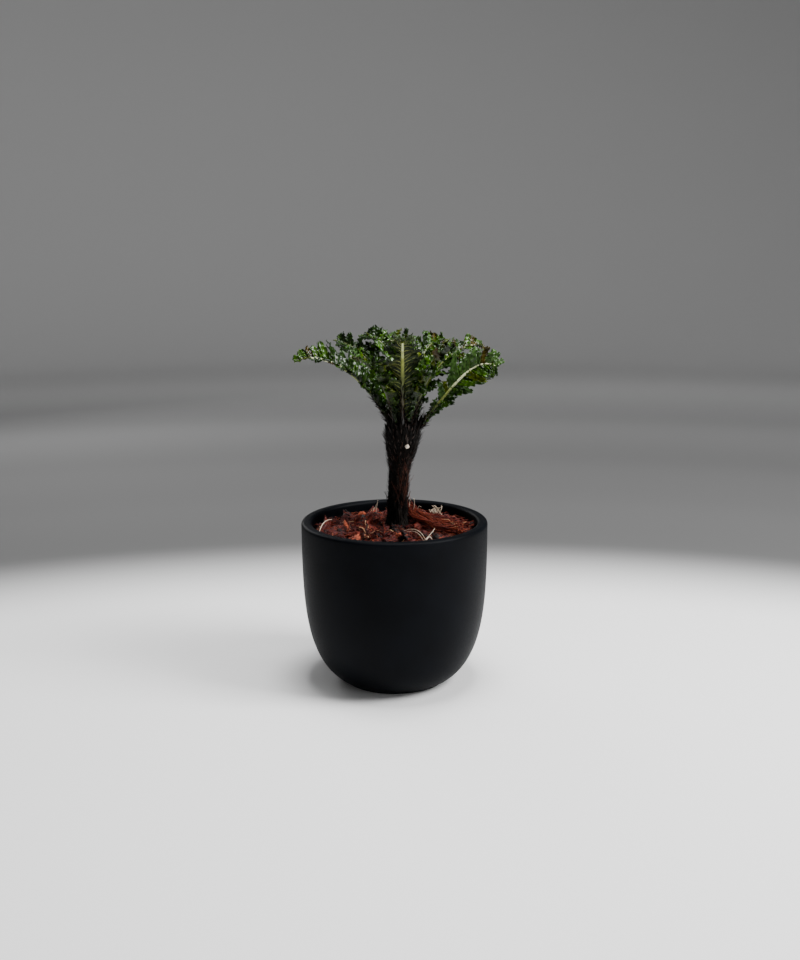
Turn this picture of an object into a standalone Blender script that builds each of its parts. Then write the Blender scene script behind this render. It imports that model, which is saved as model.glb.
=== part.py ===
"""Miniature tree fern in a matt black pot, modelled in metres with +Z up.

The origin is the centre of the pot's flat underside and -Y is the front. The pot is
a turned shell filled with coconut husk mix. A short dark trunk, studded with old
frond stubs, stands on the mix and ends in a rounded crown head. Ten arching fronds
rise from the head, each a thin blade cut to its rib between the leaflets.
"""
from dataclasses import dataclass
from math import cos, pi, radians, sin, sqrt

import bmesh
import bpy
import numpy as np
from mathutils import Matrix, Vector
from mathutils.kdtree import KDTree

MM = 0.001
GAP = 0.3 * MM  # clearance kept between neighbouring pieces
WELD = 0.00002
GOLDEN_ANGLE = pi * (3.0 - sqrt(5.0))

# Pot
POT_RADIUS = 60 * MM
POT_HEIGHT = 106 * MM
POT_WALL = 6.5 * MM
POT_FLOOR = 8 * MM
POT_FLARE_DEPTH = 4.5 * MM  # how far below the flat underside the round belly would close
POT_DEPTH_POWER = 3.62
POT_BELLY_POWER = 3.3
POT_RIM_ROUND = 2 * MM
POT_OUTER_LEVELS = 11
POT_INNER_LEVELS = 6
POT_RIM_STEPS = 3
POT_SIDES = 48

# Coconut husk mix
MIX_LEVEL = 101.5 * MM  # flat seat under the trunk
MIX_EDGE_LEVEL = 97 * MM  # lower against the wall
MIX_SEAT_RADIUS = 10 * MM
MIX_RINGS = 7
MIX_SIDES = 32
MIX_RELIEF = 1.3 * MM
CHIP_COUNT = 26
CHIP_NEAREST = 14 * MM  # distance of the chips from the pot's axis
CHIP_FURTHEST = 45.5 * MM
CHIP_LENGTH = 11 * MM
CHIP_STAND = 0.9 * MM  # how far a chip's middle lies above the mix
CHIP_THICKNESS = 3.4 * MM
CHIP_WIDTH = 5.5 * MM
CHIP_SEED = 8

# Trunk and crown head
TRUNK_FOOT = MIX_LEVEL + GAP
TRUNK_DEPTH = 2.5 * MM  # how far behind the pot's centre the trunk stands
TRUNK_LEVELS = 20
TRUNK_SIDES_RESOLUTION = 6
HEAD_X = 5.5 * MM
HEAD_LEVEL = 160 * MM
HEAD_RADIUS = 11.2 * MM
HEAD_RISE = 6 * MM
STUB_COUNT = 42
STUB_LENGTH = 6.5 * MM
STUB_RADIUS = 1.5 * MM
STUB_ROOT = 1.0 * MM  # how deep a stub's axis starts under the bark
STUB_RISE = (64, 74)  # degrees
STUB_SEED = 3

# Height above the pot's underside, lean along X, and radius, all in millimetres
TRUNK_STATIONS = (
    (101.8, 2.4, 8.2),
    (106.0, 2.3, 6.8),
    (113.0, 2.2, 5.8),
    (121.0, 2.3, 5.3),
    (129.0, 3.0, 5.6),
    (134.5, 2.9, 5.2),
    (141.5, 3.8, 6.4),
    (150.0, 4.9, 8.4),
    (160.0, 5.5, 11.2),
)

# Fronds
STIPE_HALF_WIDTH = 1.4 * MM
STIPE_STAND = GAP  # clearance of a stipe's foot over the crown head
RIB_HALF_WIDTH = 1.05 * MM
RIB_TIP_HALF_WIDTH = 0.5 * MM
RIB_THICKNESS = 2.2 * MM
RIB_THINNING = 0.4  # loss of thickness from foot to tip
BLADE_THICKNESS = 0.9 * MM
STIPE_STEPS = 4
LEAFLET_PAIRS = 15
FIRST_LEAFLET = 0.14  # share of the frond's length
LAST_LEAFLET = 0.965
LEAFLET_FILL = 0.72  # share of the pitch that a leaflet's foot takes
LEAFLET_LEAN = radians(30)
LEAFLET_DROOP = 0.16
LEAFLET_OUTLINE = ((0.45, 1.0), (0.84, 0.80), (1.0, 0.0))  # share of its reach, share of its width
RIB_POINTS = 90
TOUCH_DISTANCE = 1.75 * MM  # between the mid-surfaces of two fronds
SHORTER = (1.0, 0.85, 0.7, 0.55, 0.4)


@dataclass
class Frond:
    """The sizes of one arching frond; lengths in millimetres, angles in degrees."""

    name: str
    heading: float  # 0 is +X, 90 is the back
    foot: float  # distance of its foot from the crown's axis
    length: float
    rise: float  # elevation where it leaves the crown
    end_rise: float  # elevation at its tip
    bend: float  # above 1 keeps the bend for the outer part
    sweep: float  # turn of the heading from foot to tip
    roll: float  # turn of the blade about its rib at the foot
    end_roll: float
    fold: float  # how far each half is raised into a V
    half_width: float
    foot_width: float = 0.40  # half width at the first leaflet, as a share of the widest
    widest: float = 0.55  # share of the length where the blade is widest
    tip_taper: float = 0.72  # loss of width from there to the tip
    left: float = 1.0  # length of the leaflets on the left as a share of those on the right


FRONDS = (
    Frond("frond_01", -16, 9.5, 69.5, 51, -37, 6.0, 4, -40, -80, 10, 14.5, 0.12, 0.62, 0.6),
    Frond("frond_02", 18, 7.0, 77, 76, -2, 1.6, 11, -5, -30, 25, 13),
    Frond("frond_03", 48, 6.5, 73, 86, -7, 1.9, 12, -10, -30, 28, 13),
    Frond("frond_04", 76, 5.5, 69, 88, 3, 2.3, 44, 0, 15, 28, 12.5),
    Frond("frond_05", 112, 5.0, 73.5, 85, -15, 2.6, 35, 5, 18, 28, 12.5),
    Frond("frond_06", 152, 6.0, 75, 85, 11, 1.1, -12, 15, 35, 28, 13),
    Frond("frond_07", 188, 6.0, 82, 58, -16, 2.2, 12, 28, 36, 40, 16, 0.34, 0.42, 0.84, 0.45),
    Frond("frond_08", 228, 7.0, 67, 78, 14, 1.3, 8, 35, 45, 28, 13.5),
    Frond("frond_09", 270, 6.0, 81, 70, 17, 1.6, 0, 0, 0, 28, 14),
    Frond("frond_10", 310, 7.0, 76, 68, 18, 1.6, -11, -35, -45, 28, 13.5),
)

FINISHES = {
    "matt_black": ((0.012, 0.012, 0.013, 1.0), 0.62),
    "husk": ((0.20, 0.055, 0.025, 1.0), 0.9),
    "bark": ((0.022, 0.014, 0.010, 1.0), 0.85),
    "blade_green": ((0.030, 0.085, 0.022, 1.0), 0.4),
}


def clear_scene():
    """Remove every object that the file starts with."""
    for obj in list(bpy.data.objects):
        bpy.data.objects.remove(obj, do_unlink=True)


def collection(name):
    """Make a collection under the scene and return it."""
    made = bpy.data.collections.new(name)
    bpy.context.scene.collection.children.link(made)
    return made


def finish(obj, name):
    """Give the object its own Principled material."""
    colour, roughness = FINISHES[name]
    material = bpy.data.materials.new(f"{obj.name}_{name}")
    material.use_nodes = True
    shader = material.node_tree.nodes["Principled BSDF"]
    shader.inputs["Base Color"].default_value = colour
    shader.inputs["Roughness"].default_value = roughness
    shader.inputs["Metallic"].default_value = 0.0
    obj.data.materials.clear()
    obj.data.materials.append(material)


def new_object(name, mesh, home):
    """Link a mesh as a new object in a collection."""
    obj = bpy.data.objects.new(name, mesh)
    home.objects.link(obj)
    return obj


def evaluated_mesh(obj, name):
    """Return the object's mesh with its modifiers applied and its seams welded."""
    bpy.context.view_layer.update()
    graph = bpy.context.evaluated_depsgraph_get()
    mesh = bpy.data.meshes.new_from_object(obj.evaluated_get(graph))
    mesh.name = name
    mesh.transform(obj.matrix_world)
    work = bmesh.new()
    work.from_mesh(mesh)
    bmesh.ops.remove_doubles(work, verts=work.verts, dist=WELD)
    work.to_mesh(mesh)
    work.free()
    return mesh


def keep_main_shell(mesh):
    """Keep the largest shell: sealed hollows are filled and loose scraps dropped."""
    work = bmesh.new()
    work.from_mesh(mesh)
    work.faces.ensure_lookup_table()
    waiting = set(range(len(work.faces)))
    shells = []
    while waiting:
        shell = []
        front = [waiting.pop()]
        while front:
            face = work.faces[front.pop()]
            shell.append(face)
            for edge in face.edges:
                for other in edge.link_faces:
                    if other.index in waiting:
                        waiting.remove(other.index)
                        front.append(other.index)
        shells.append(shell)
    shells.sort(key=len)
    for shell in shells[:-1]:
        bmesh.ops.delete(work, geom=shell, context="FACES")
    work.to_mesh(mesh)
    work.free()


def fused(name, body, extras, home):
    """Join a body and all its extras into one closed solid by a Boolean union."""
    group = collection(f"{name}_extras")
    for extra in extras:
        group.objects.link(extra)
    union = body.modifiers.new("union", "BOOLEAN")
    union.operation = "UNION"
    union.operand_type = "COLLECTION"
    union.collection = group
    union.solver = "EXACT"
    mesh = evaluated_mesh(body, name)
    keep_main_shell(mesh)
    result = new_object(name, mesh, home)
    for obj in [body, *extras]:
        bpy.data.objects.remove(obj, do_unlink=True)
    bpy.data.collections.remove(group)
    return result


def smooth(mesh, angle=40):
    """Shade a mesh smooth, with its steeper edges sharp."""
    mesh.shade_smooth()
    mesh.set_sharp_from_angle(angle=radians(angle))


# ---------------------------------------------------------------- pot and mix


def pot_radius(height):
    """Outer radius of the pot at a height above its underside."""
    share = (POT_HEIGHT - height) / (POT_HEIGHT + POT_FLARE_DEPTH)
    return POT_RADIUS * (1.0 - share**POT_DEPTH_POWER) ** (1.0 / POT_BELLY_POWER)


def bore_radius(height):
    """Radius of the pot's inside at a height above its floor."""
    return pot_radius(height) - POT_WALL


def spun(name, profile, sides, home):
    """Turn a profile of (radius, height) about Z with a Screw modifier."""
    mesh = bpy.data.meshes.new(name)
    edges = [(i, i + 1) for i in range(len(profile) - 1)]
    mesh.from_pydata([(r, 0.0, z) for r, z in profile], edges, [])
    obj = new_object(name, mesh, home)
    screw = obj.modifiers.new("turn", "SCREW")
    screw.steps = sides
    screw.render_steps = sides
    screw.use_merge_vertices = True
    screw.merge_threshold = WELD
    screw.use_smooth_shade = True
    return obj


def rim_profile():
    """The rounded lip, from its inner foot over the top to its outer foot."""
    inner = bore_radius(POT_HEIGHT)
    points = []
    for centre, start in ((inner + POT_RIM_ROUND, pi), (POT_RADIUS - POT_RIM_ROUND, pi / 2)):
        for step in range(POT_RIM_STEPS + 1):
            angle = start - step * (pi / 2) / POT_RIM_STEPS
            height = POT_HEIGHT - POT_RIM_ROUND + POT_RIM_ROUND * sin(angle)
            points.append((centre + POT_RIM_ROUND * cos(angle), height))
    return points


def build_pot(home):
    """The pot: a thick turned shell with a round lip and a flat underside."""
    lip_foot = POT_HEIGHT - POT_RIM_ROUND
    inside = [(0.0, POT_FLOOR)]
    for step in range(POT_INNER_LEVELS):
        rise = (step / POT_INNER_LEVELS) ** 1.6
        height = POT_FLOOR + (lip_foot - POT_FLOOR) * rise
        inside.append((bore_radius(height), height))
    outside = []
    for step in range(1, POT_OUTER_LEVELS + 1):
        height = lip_foot * (1.0 - step / POT_OUTER_LEVELS) ** 1.5
        outside.append((pot_radius(height), height))
    profile = inside + rim_profile() + outside + [(0.0, 0.0)]
    pot = spun("pot", profile, POT_SIDES, home)
    finish(pot, "matt_black")


def mix_level(radius):
    """Height of the mix at a distance from the trunk's foot, falling to the wall."""
    share = min(max((radius - MIX_SEAT_RADIUS) / (POT_RADIUS - MIX_SEAT_RADIUS), 0.0), 1.0)
    return MIX_LEVEL - (MIX_LEVEL - MIX_EDGE_LEVEL) * share


def mix_relief(x, y):
    """Lumps of the mix: a few crossed waves, none on the seat under the trunk."""
    waves = sin(210 * x + 1.3) * cos(175 * y) + 0.6 * sin(340 * y + 260 * x + 0.7)
    reach = Vector((x - TRUNK_STATIONS[0][1] * MM, y - TRUNK_DEPTH)).length
    calm = min(max((reach - MIX_SEAT_RADIUS) / MIX_SEAT_RADIUS, 0.0), 1.0)
    return MIX_RELIEF * waves * calm


def husk_chip(index, dice):
    """One chip of husk: a bevelled slab, tilted and half sunk in the mix."""
    share = (index + 0.8) / CHIP_COUNT
    reach = CHIP_NEAREST + (CHIP_FURTHEST - CHIP_NEAREST) * sqrt(share)
    angle = index * GOLDEN_ANGLE
    x, y = reach * cos(angle), reach * sin(angle)
    length = CHIP_LENGTH * dice.uniform(0.7, 1.15)
    width = CHIP_WIDTH * dice.uniform(0.7, 1.1)
    turn = Matrix.Rotation(dice.uniform(0, 2 * pi), 4, "Z")
    tilt = Matrix.Rotation(radians(dice.uniform(-24, 24)), 4, "Y")
    lean = Matrix.Rotation(radians(dice.uniform(-20, 20)), 4, "X")
    work = bmesh.new()
    bmesh.ops.create_cube(work, size=1.0)
    bmesh.ops.scale(work, vec=(length, width, CHIP_THICKNESS), verts=work.verts)
    for vertex in work.verts:
        vertex.co += Vector([dice.uniform(-0.5, 0.5) * MM for _ in range(3)])
    height = mix_level(reach) + mix_relief(x, y) + CHIP_STAND
    work.transform(Matrix.Translation((x, y, height)) @ turn @ tilt @ lean)
    mesh = bpy.data.meshes.new(f"chip_{index:02d}")
    work.to_mesh(mesh)
    work.free()
    return bpy.data.objects.new(mesh.name, mesh)


def build_mix(home):
    """The husk mix that fills the pot, lumpy on top, with loose chips fused on."""
    floor = POT_FLOOR + GAP
    edge = MIX_EDGE_LEVEL
    edge_radius = bore_radius(edge) - GAP
    profile = []
    for ring in range(MIX_RINGS + 1):
        radius = edge_radius * ring / MIX_RINGS
        profile.append((radius, edge if ring == MIX_RINGS else mix_level(radius)))
    for step in range(1, POT_INNER_LEVELS):
        height = floor + (edge - floor) * (1.0 - step / (POT_INNER_LEVELS - 1)) ** 1.6
        profile.append((bore_radius(height) - 2 * GAP, height))
    profile.append((0.0, floor))
    body = spun("mix_body", profile, MIX_SIDES, home)
    mesh = evaluated_mesh(body, "mix_body")
    bpy.data.objects.remove(body, do_unlink=True)
    for vertex in mesh.vertices:
        reach = vertex.co.xy.length
        if vertex.co.z > MIX_EDGE_LEVEL - WELD and reach < edge_radius - MM:
            vertex.co.z += mix_relief(vertex.co.x, vertex.co.y)
    body = new_object("mix_body", mesh, home)
    dice = np.random.default_rng(CHIP_SEED)
    chips = [husk_chip(index, dice) for index in range(CHIP_COUNT)]
    mix = fused("coir_mix", body, chips, home)
    smooth(mix.data)
    finish(mix, "husk")


# ---------------------------------------------------------------- trunk


def trunk_section(height):
    """Lean along X and radius of the trunk at a height, both in metres."""
    heights, leans, radii = (np.array(column) * MM for column in zip(*TRUNK_STATIONS))
    return float(np.interp(height, heights, leans)), float(np.interp(height, heights, radii))


def trunk_path():
    """Centre points and radii of the trunk, closing in the rounded crown head."""
    path = []
    for step in range(TRUNK_LEVELS):
        height = TRUNK_FOOT + (HEAD_LEVEL - TRUNK_FOOT) * step / TRUNK_LEVELS
        lean, radius = trunk_section(height)
        path.append((lean, height, radius))
    for angle in (0, 18, 36, 52, 66, 78):
        turn = radians(angle)
        path.append((HEAD_X, HEAD_LEVEL + HEAD_RISE * sin(turn), HEAD_RADIUS * cos(turn)))
    return path


def trunk_tube(home):
    """The bare trunk: a tapered tube with filled caps, its foot cut level."""
    curve = bpy.data.curves.new("trunk_path", "CURVE")
    curve.dimensions = "3D"
    curve.bevel_depth = 1.0
    curve.bevel_resolution = TRUNK_SIDES_RESOLUTION
    curve.use_fill_caps = True
    path = trunk_path()
    spline = curve.splines.new("POLY")
    spline.points.add(len(path) - 1)
    foot_lean = path[0][0]
    for index, (point, (lean, height, radius)) in enumerate(zip(spline.points, path)):
        x = foot_lean if index < 2 else lean
        point.co = (x, TRUNK_DEPTH, height, 1.0)
        point.radius = radius
    obj = bpy.data.objects.new("trunk_path", curve)
    home.objects.link(obj)
    mesh = evaluated_mesh(obj, "trunk_tube")
    bpy.data.objects.remove(obj, do_unlink=True)
    level = min(vertex.co.z for vertex in mesh.vertices)
    for vertex in mesh.vertices:
        if vertex.co.z < level + MM:
            vertex.co.z = TRUNK_FOOT
    return new_object("trunk_tube", mesh, home)


def old_stub(index, dice):
    """The stub of one shed frond: a short cone that leans up and out of the trunk."""
    share = (index + 0.5) / STUB_COUNT
    height = TRUNK_FOOT + 7 * MM + (HEAD_LEVEL - TRUNK_FOOT - 10 * MM) * share
    lean, radius = trunk_section(height)
    heading = index * GOLDEN_ANGLE
    outward = Vector((cos(heading), sin(heading), 0.0))
    rise = radians(dice.uniform(*STUB_RISE))
    axis = (outward * cos(rise) + Vector((0, 0, sin(rise)))).normalized()
    start = Vector((lean, TRUNK_DEPTH, height)) + outward * (radius - STUB_ROOT)
    length = STUB_LENGTH * dice.uniform(0.8, 1.1) * (1.0 + 0.3 * share)
    foot, end = STUB_RADIUS * 1.25, STUB_RADIUS * 0.75
    turn = axis.to_track_quat("Z", "Y").to_matrix().to_4x4()
    work = bmesh.new()
    bmesh.ops.create_cone(work, cap_ends=True, segments=6, radius1=foot, radius2=end, depth=length)
    work.transform(Matrix.Translation(start + axis * length / 2) @ turn)
    mesh = bpy.data.meshes.new(f"stub_{index:02d}")
    work.to_mesh(mesh)
    work.free()
    return bpy.data.objects.new(mesh.name, mesh)


def build_trunk(home):
    """The trunk with its crown head and a spiral of old frond stubs fused on."""
    dice = np.random.default_rng(STUB_SEED)
    stubs = [old_stub(index, dice) for index in range(STUB_COUNT)]
    trunk = fused("trunk", trunk_tube(home), stubs, home)
    smooth(trunk.data)
    finish(trunk, "bark")


# ---------------------------------------------------------------- fronds


def head_top(reach):
    """Height of the crown head's surface at a distance from its axis."""
    share = min(reach / HEAD_RADIUS, 1.0)
    return HEAD_LEVEL + HEAD_RISE * sqrt(1.0 - share * share)


class Rib:
    """The curve of a frond's rib, with the blade's side and upward directions along it."""

    def __init__(self, frond):
        share = np.linspace(0.0, 1.0, RIB_POINTS)
        rise = np.radians(frond.rise + (frond.end_rise - frond.rise) * share**frond.bend)
        heading = np.radians(frond.heading + frond.sweep * share)
        outward = np.stack([np.cos(heading), np.sin(heading), 0 * heading], 1)
        upward = np.array([0.0, 0.0, 1.0])
        ahead = outward * np.cos(rise)[:, None] + upward * np.sin(rise)[:, None]
        above = upward * np.cos(rise)[:, None] - outward * np.sin(rise)[:, None]
        steps = (ahead[1:] + ahead[:-1]) / 2 * frond.length * MM / (RIB_POINTS - 1)
        angle = radians(frond.heading)
        reach = frond.foot * MM
        height = head_top(reach) + STIPE_STAND + STIPE_HALF_WIDTH * cos(radians(frond.rise))
        foot = np.array([HEAD_X + reach * cos(angle), TRUNK_DEPTH + reach * sin(angle), height])
        self.share = share
        self.points = foot + np.vstack([np.zeros(3), np.cumsum(steps, 0)])
        self.ahead = ahead
        roll = np.radians(frond.roll + (frond.end_roll - frond.roll) * share)[:, None]
        side = np.cross(ahead, above)
        self.side = side * np.cos(roll) + above * np.sin(roll)
        self.above = above * np.cos(roll) - side * np.sin(roll)

    def at(self, share):
        """Point, ahead, side and above at a share of the length."""
        rows = (self.points, self.ahead, self.side, self.above)
        return [Vector([np.interp(share, self.share, row[:, k]) for k in range(3)]) for row in rows]


def width_share(frond, share):
    """Half width of the blade as a share of its widest, along the frond."""
    rise = min(max((share - FIRST_LEAFLET) / (frond.widest - FIRST_LEAFLET), 0.0), 1.0)
    fall = min(max((share - frond.widest) / (1.0 - frond.widest), 0.0), 1.0)
    foot = frond.foot_width
    return (foot + (1.0 - foot) * rise**1.25) * (1.0 - frond.tip_taper * fall**1.7)


def rib_half_width(share):
    """Half width of the rib: a stout stipe that narrows to the first leaflet, then to the tip."""
    shares = (0.0, FIRST_LEAFLET, 1.0)
    return float(np.interp(share, shares, (STIPE_HALF_WIDTH, RIB_HALF_WIDTH, RIB_TIP_HALF_WIDTH)))


def leaflet_rows(frond, rib, start, end, hand, scale):
    """Rows of points across one leaflet, from the rib to its tip.

    Each row has the point towards the frond's foot and the one towards its tip, and
    the last row is the single tip point.
    """
    middle = (start + end) / 2
    point, ahead, side, above = rib.at(middle)
    fold = radians(frond.fold)
    out = side * hand * cos(fold) + above * sin(fold)
    out = out * cos(LEAFLET_LEAN) + ahead * sin(LEAFLET_LEAN)
    reach = frond.half_width * MM * width_share(frond, middle) * scale / cos(LEAFLET_LEAN)
    if hand < 0:
        reach *= frond.left
    rows = []
    for share, narrowing in LEAFLET_OUTLINE:
        centre = point + side * hand * rib_half_width(middle) + out * reach * share
        centre -= above * LEAFLET_DROOP * reach * share * share
        half = ahead * (end - start) / 2 * frond.length * MM * narrowing
        rows.append([centre - half, centre + half] if narrowing else [centre])
    return rows


def leaflet_samples(root, rows):
    """Points spread over a leaflet's mid-surface, for testing what it would touch."""
    pairs = [root] + [row if len(row) == 2 else row * 2 for row in rows]
    samples = []
    for (low_a, low_b), (high_a, high_b) in zip(pairs, pairs[1:]):
        for k in range(1, 6):
            a = low_a.lerp(high_a, k / 5)
            b = low_b.lerp(high_b, k / 5)
            samples += [a.lerp(b, j / 4) for j in range(5)]
    return samples


def leaflet_stations():
    """Start and end share of each leaflet's foot along the rib."""
    pitch = (LAST_LEAFLET - FIRST_LEAFLET) / LEAFLET_PAIRS
    starts = [FIRST_LEAFLET + pitch * k for k in range(LEAFLET_PAIRS)]
    return [(start, start + pitch * LEAFLET_FILL) for start in starts]


class Blade:
    """The open surface of one frond: a rib strip with leaflets on both sides."""

    def __init__(self, frond, rib):
        self.frond = frond
        self.rib = rib
        self.work = bmesh.new()
        self.weights = []
        self.samples = []

    def vertex(self, place, weight):
        """Add a vertex whose weight says how thick the blade is there."""
        self.weights.append(weight)
        return self.work.verts.new(place)

    def strip_pair(self, share):
        """The rib's left and right vertices at one station."""
        point, ahead, side, above = self.rib.at(share)
        half = rib_half_width(share)
        weight = 1.0 - RIB_THINNING * share
        return [self.vertex(point - side * half, weight), self.vertex(point + side * half, weight)]

    def leaflet(self, start_pair, end_pair, start, end, hand, others):
        """Add one leaflet, shortened or left out where it would touch another frond."""
        column = 0 if hand < 0 else 1
        root = [start_pair[column], end_pair[column]]
        feet = [vertex.co.copy() for vertex in root]
        for scale in SHORTER:
            rows = leaflet_rows(self.frond, self.rib, start, end, hand, scale)
            samples = leaflet_samples(feet, rows)
            if all(others.find(sample)[2] > TOUCH_DISTANCE for sample in samples):
                break
        else:
            return
        self.samples += samples
        below = root
        for row in rows:
            made = [self.vertex(place, 0.0) for place in row]
            corners = [below[0], below[1], *reversed(made)]
            self.work.faces.new(corners if hand > 0 else corners[::-1])
            below = made

    def build(self, others):
        """Lay the strip and its leaflets."""
        stations = leaflet_stations()
        stipe = [FIRST_LEAFLET * step / STIPE_STEPS for step in range(STIPE_STEPS)]
        shares = stipe + [share for pair in stations for share in pair]
        pairs = [self.strip_pair(share) for share in shares]
        for low, high in zip(pairs, pairs[1:]):
            self.work.faces.new([low[0], low[1], high[1], high[0]])
        tip = self.vertex(self.rib.at(1.0)[0], 0.4)
        self.work.faces.new([pairs[-1][0], pairs[-1][1], tip])
        for index, (start, end) in enumerate(stations):
            first = STIPE_STEPS + 2 * index
            for hand in (-1, 1):
                self.leaflet(pairs[first], pairs[first + 1], start, end, hand, others)

    def solid(self, home):
        """Turn the surface into a closed blade with Solidify, thickest along the rib."""
        bmesh.ops.recalc_face_normals(self.work, faces=self.work.faces)
        mesh = bpy.data.meshes.new(self.frond.name)
        self.work.verts.index_update()
        self.work.to_mesh(mesh)
        self.work.free()
        obj = new_object(self.frond.name, mesh, home)
        group = obj.vertex_groups.new(name="thick")
        for index, weight in enumerate(self.weights):
            group.add([index], weight, "REPLACE")
        skin = obj.modifiers.new("thickness", "SOLIDIFY")
        skin.thickness = RIB_THICKNESS
        skin.offset = 0.0
        skin.vertex_group = group.name
        skin.thickness_vertex_group = BLADE_THICKNESS / RIB_THICKNESS
        finish(obj, "blade_green")


def tree_of(points):
    """A search tree over a list of points."""
    tree = KDTree(max(len(points), 1))
    for index, point in enumerate(points):
        tree.insert(point, index)
    tree.balance()
    return tree


def build_fronds(home):
    """All the fronds in turn, each keeping its leaflets clear of those before it."""
    ribs = [Rib(frond) for frond in FRONDS]
    fine = [[Vector(point) for point in rib.points] for rib in ribs]
    placed = []
    for index, (frond, rib) in enumerate(zip(FRONDS, ribs)):
        others = list(placed)
        for other, points in enumerate(fine):
            if other != index:
                others += points
        blade = Blade(frond, rib)
        blade.build(tree_of(others))
        placed += blade.samples
        blade.solid(home)


def main():
    """Build the whole potted fern."""
    clear_scene()
    home = collection("tree_fern")
    build_pot(home)
    build_mix(home)
    build_trunk(home)
    build_fronds(home)


main()
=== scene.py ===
"""Looks of a miniature tree fern that stands in husk mix in a round matt black pot.

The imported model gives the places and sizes. Each sub-assembly is a class that builds its
meshes as numpy surfaces and dresses them: the pot, the husk mix, the trunk, the fronds
and the studio around them. Lengths are in metres, with +Z up and -Y towards the front.
"""
import logging
from dataclasses import dataclass, field
from enum import Enum
from typing import Sequence

import bpy
import numpy as np
from mathutils import Matrix, Vector
from numpy.typing import NDArray


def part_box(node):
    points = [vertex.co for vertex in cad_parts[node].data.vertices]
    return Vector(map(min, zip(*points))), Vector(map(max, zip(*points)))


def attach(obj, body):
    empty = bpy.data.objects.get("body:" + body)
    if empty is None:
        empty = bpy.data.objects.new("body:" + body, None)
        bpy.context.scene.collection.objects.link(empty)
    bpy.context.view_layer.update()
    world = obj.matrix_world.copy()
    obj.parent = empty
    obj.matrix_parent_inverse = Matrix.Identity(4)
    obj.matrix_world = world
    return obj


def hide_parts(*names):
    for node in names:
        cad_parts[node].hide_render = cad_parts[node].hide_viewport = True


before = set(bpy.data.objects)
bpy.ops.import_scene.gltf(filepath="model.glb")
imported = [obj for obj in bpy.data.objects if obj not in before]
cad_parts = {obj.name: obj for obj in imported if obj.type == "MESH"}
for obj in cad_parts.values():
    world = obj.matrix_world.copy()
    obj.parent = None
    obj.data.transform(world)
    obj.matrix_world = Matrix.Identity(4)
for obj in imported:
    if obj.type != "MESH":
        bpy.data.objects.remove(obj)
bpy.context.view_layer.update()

BODY = "root"
MM = 0.001
GOLDEN_ANGLE = np.pi * (3.0 - np.sqrt(5.0))
TURN = 2.0 * np.pi

UP = np.array([0.0, 0.0, 1.0])

Array = NDArray[np.float64]
Colour = tuple[float, float, float]
Place = tuple[float, float, float]

log = logging.getLogger("tree_fern")


# ------------------------------------------------------------------ shapes


def unit(vectors: Array) -> Array:
    """Scale each vector along the last axis to length one."""
    return vectors / np.maximum(np.linalg.norm(vectors, axis=-1, keepdims=True), 1e-12)


def ramp(values: Array, low: float, high: float) -> Array:
    """Rise smoothly from 0 at low to 1 at high: 3 t squared less 2 t cubed.

    Args:
        values: Values to look up.
        low: Value where the rise starts.
        high: Value where it ends; less than low for a fall.

    Returns:
        Shares from 0 to 1.
    """
    share = np.clip((values - low) / (high - low), 0.0, 1.0)
    return share * share * (3.0 - 2.0 * share)


def turned(vectors: Array, axis: Array, angle: Array) -> Array:
    """Turn vectors about unit axes by angles, by Rodrigues' formula.

    Args:
        vectors: Vectors to turn.
        axis: Unit axes of the same shape.
        angle: One angle for each vector.

    Returns:
        The turned vectors.
    """
    cosine = np.cos(angle)[..., None]
    sine = np.sin(angle)[..., None]
    along = np.sum(vectors * axis, axis=-1, keepdims=True) * axis
    return vectors * cosine + np.cross(axis, vectors) * sine + along * (1.0 - cosine)


def waves(places: Array, pitch: float, rng: np.random.Generator, count: int = 6) -> Array:
    """Seeded lumps in space: a mean of sines along random directions.

    Args:
        places: Points, with x, y, z on the last axis.
        pitch: Typical size of a lump.
        rng: Source of the directions and phases.
        count: Number of sines.

    Returns:
        One value between about -1 and 1 for each point.
    """
    directions = unit(rng.normal(size=(count, 3))) * rng.uniform(0.6, 1.5, (count, 1))
    phases = rng.uniform(0, TURN, count)
    return np.sin(places @ directions.T * (TURN / pitch) + phases).sum(axis=-1) / np.sqrt(count)


def sweep(path: Array, side: Array, top: Array, wide: Array, high: Array, sides: int) -> Array:
    """Carry an oval profile along many paths.

    Each ring point is the path point plus cos(a) times the half width along side plus
    sin(a) times the half height along top.

    Args:
        path: Points of shape (paths, rows, 3).
        side: Unit side directions of the same shape.
        top: Unit top directions of the same shape.
        wide: Half widths of shape (paths, rows).
        high: Half heights of shape (paths, rows).
        sides: Number of points round the profile.

    Returns:
        Points of shape (paths, rows, sides, 3).
    """
    angle = np.linspace(0.0, TURN, sides, endpoint=False)[:, None]
    across = side[:, :, None, :] * np.cos(angle) * wide[:, :, None, None]
    upward = top[:, :, None, :] * np.sin(angle) * high[:, :, None, None]
    return path[:, :, None, :] + across + upward


def tubes(path: Array, radius: Array, sides: int) -> Array:
    """Carry a round profile along many paths, framed by the axis each path least follows.

    Args:
        path: Points of shape (paths, rows, 3).
        radius: Radii that fit the shape (paths, rows).
        sides: Number of points round the profile.

    Returns:
        Points of shape (paths, rows, sides, 3).
    """
    ahead = unit(np.gradient(path, axis=1))
    pick = np.argmin(np.abs(ahead).mean(axis=1), axis=1)
    side = unit(np.cross(ahead, np.eye(3)[pick][:, None, :]))
    top = np.cross(side, ahead)
    wide = np.broadcast_to(radius, path.shape[:2])
    return sweep(path, side, top, wide, wide, sides)


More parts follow.
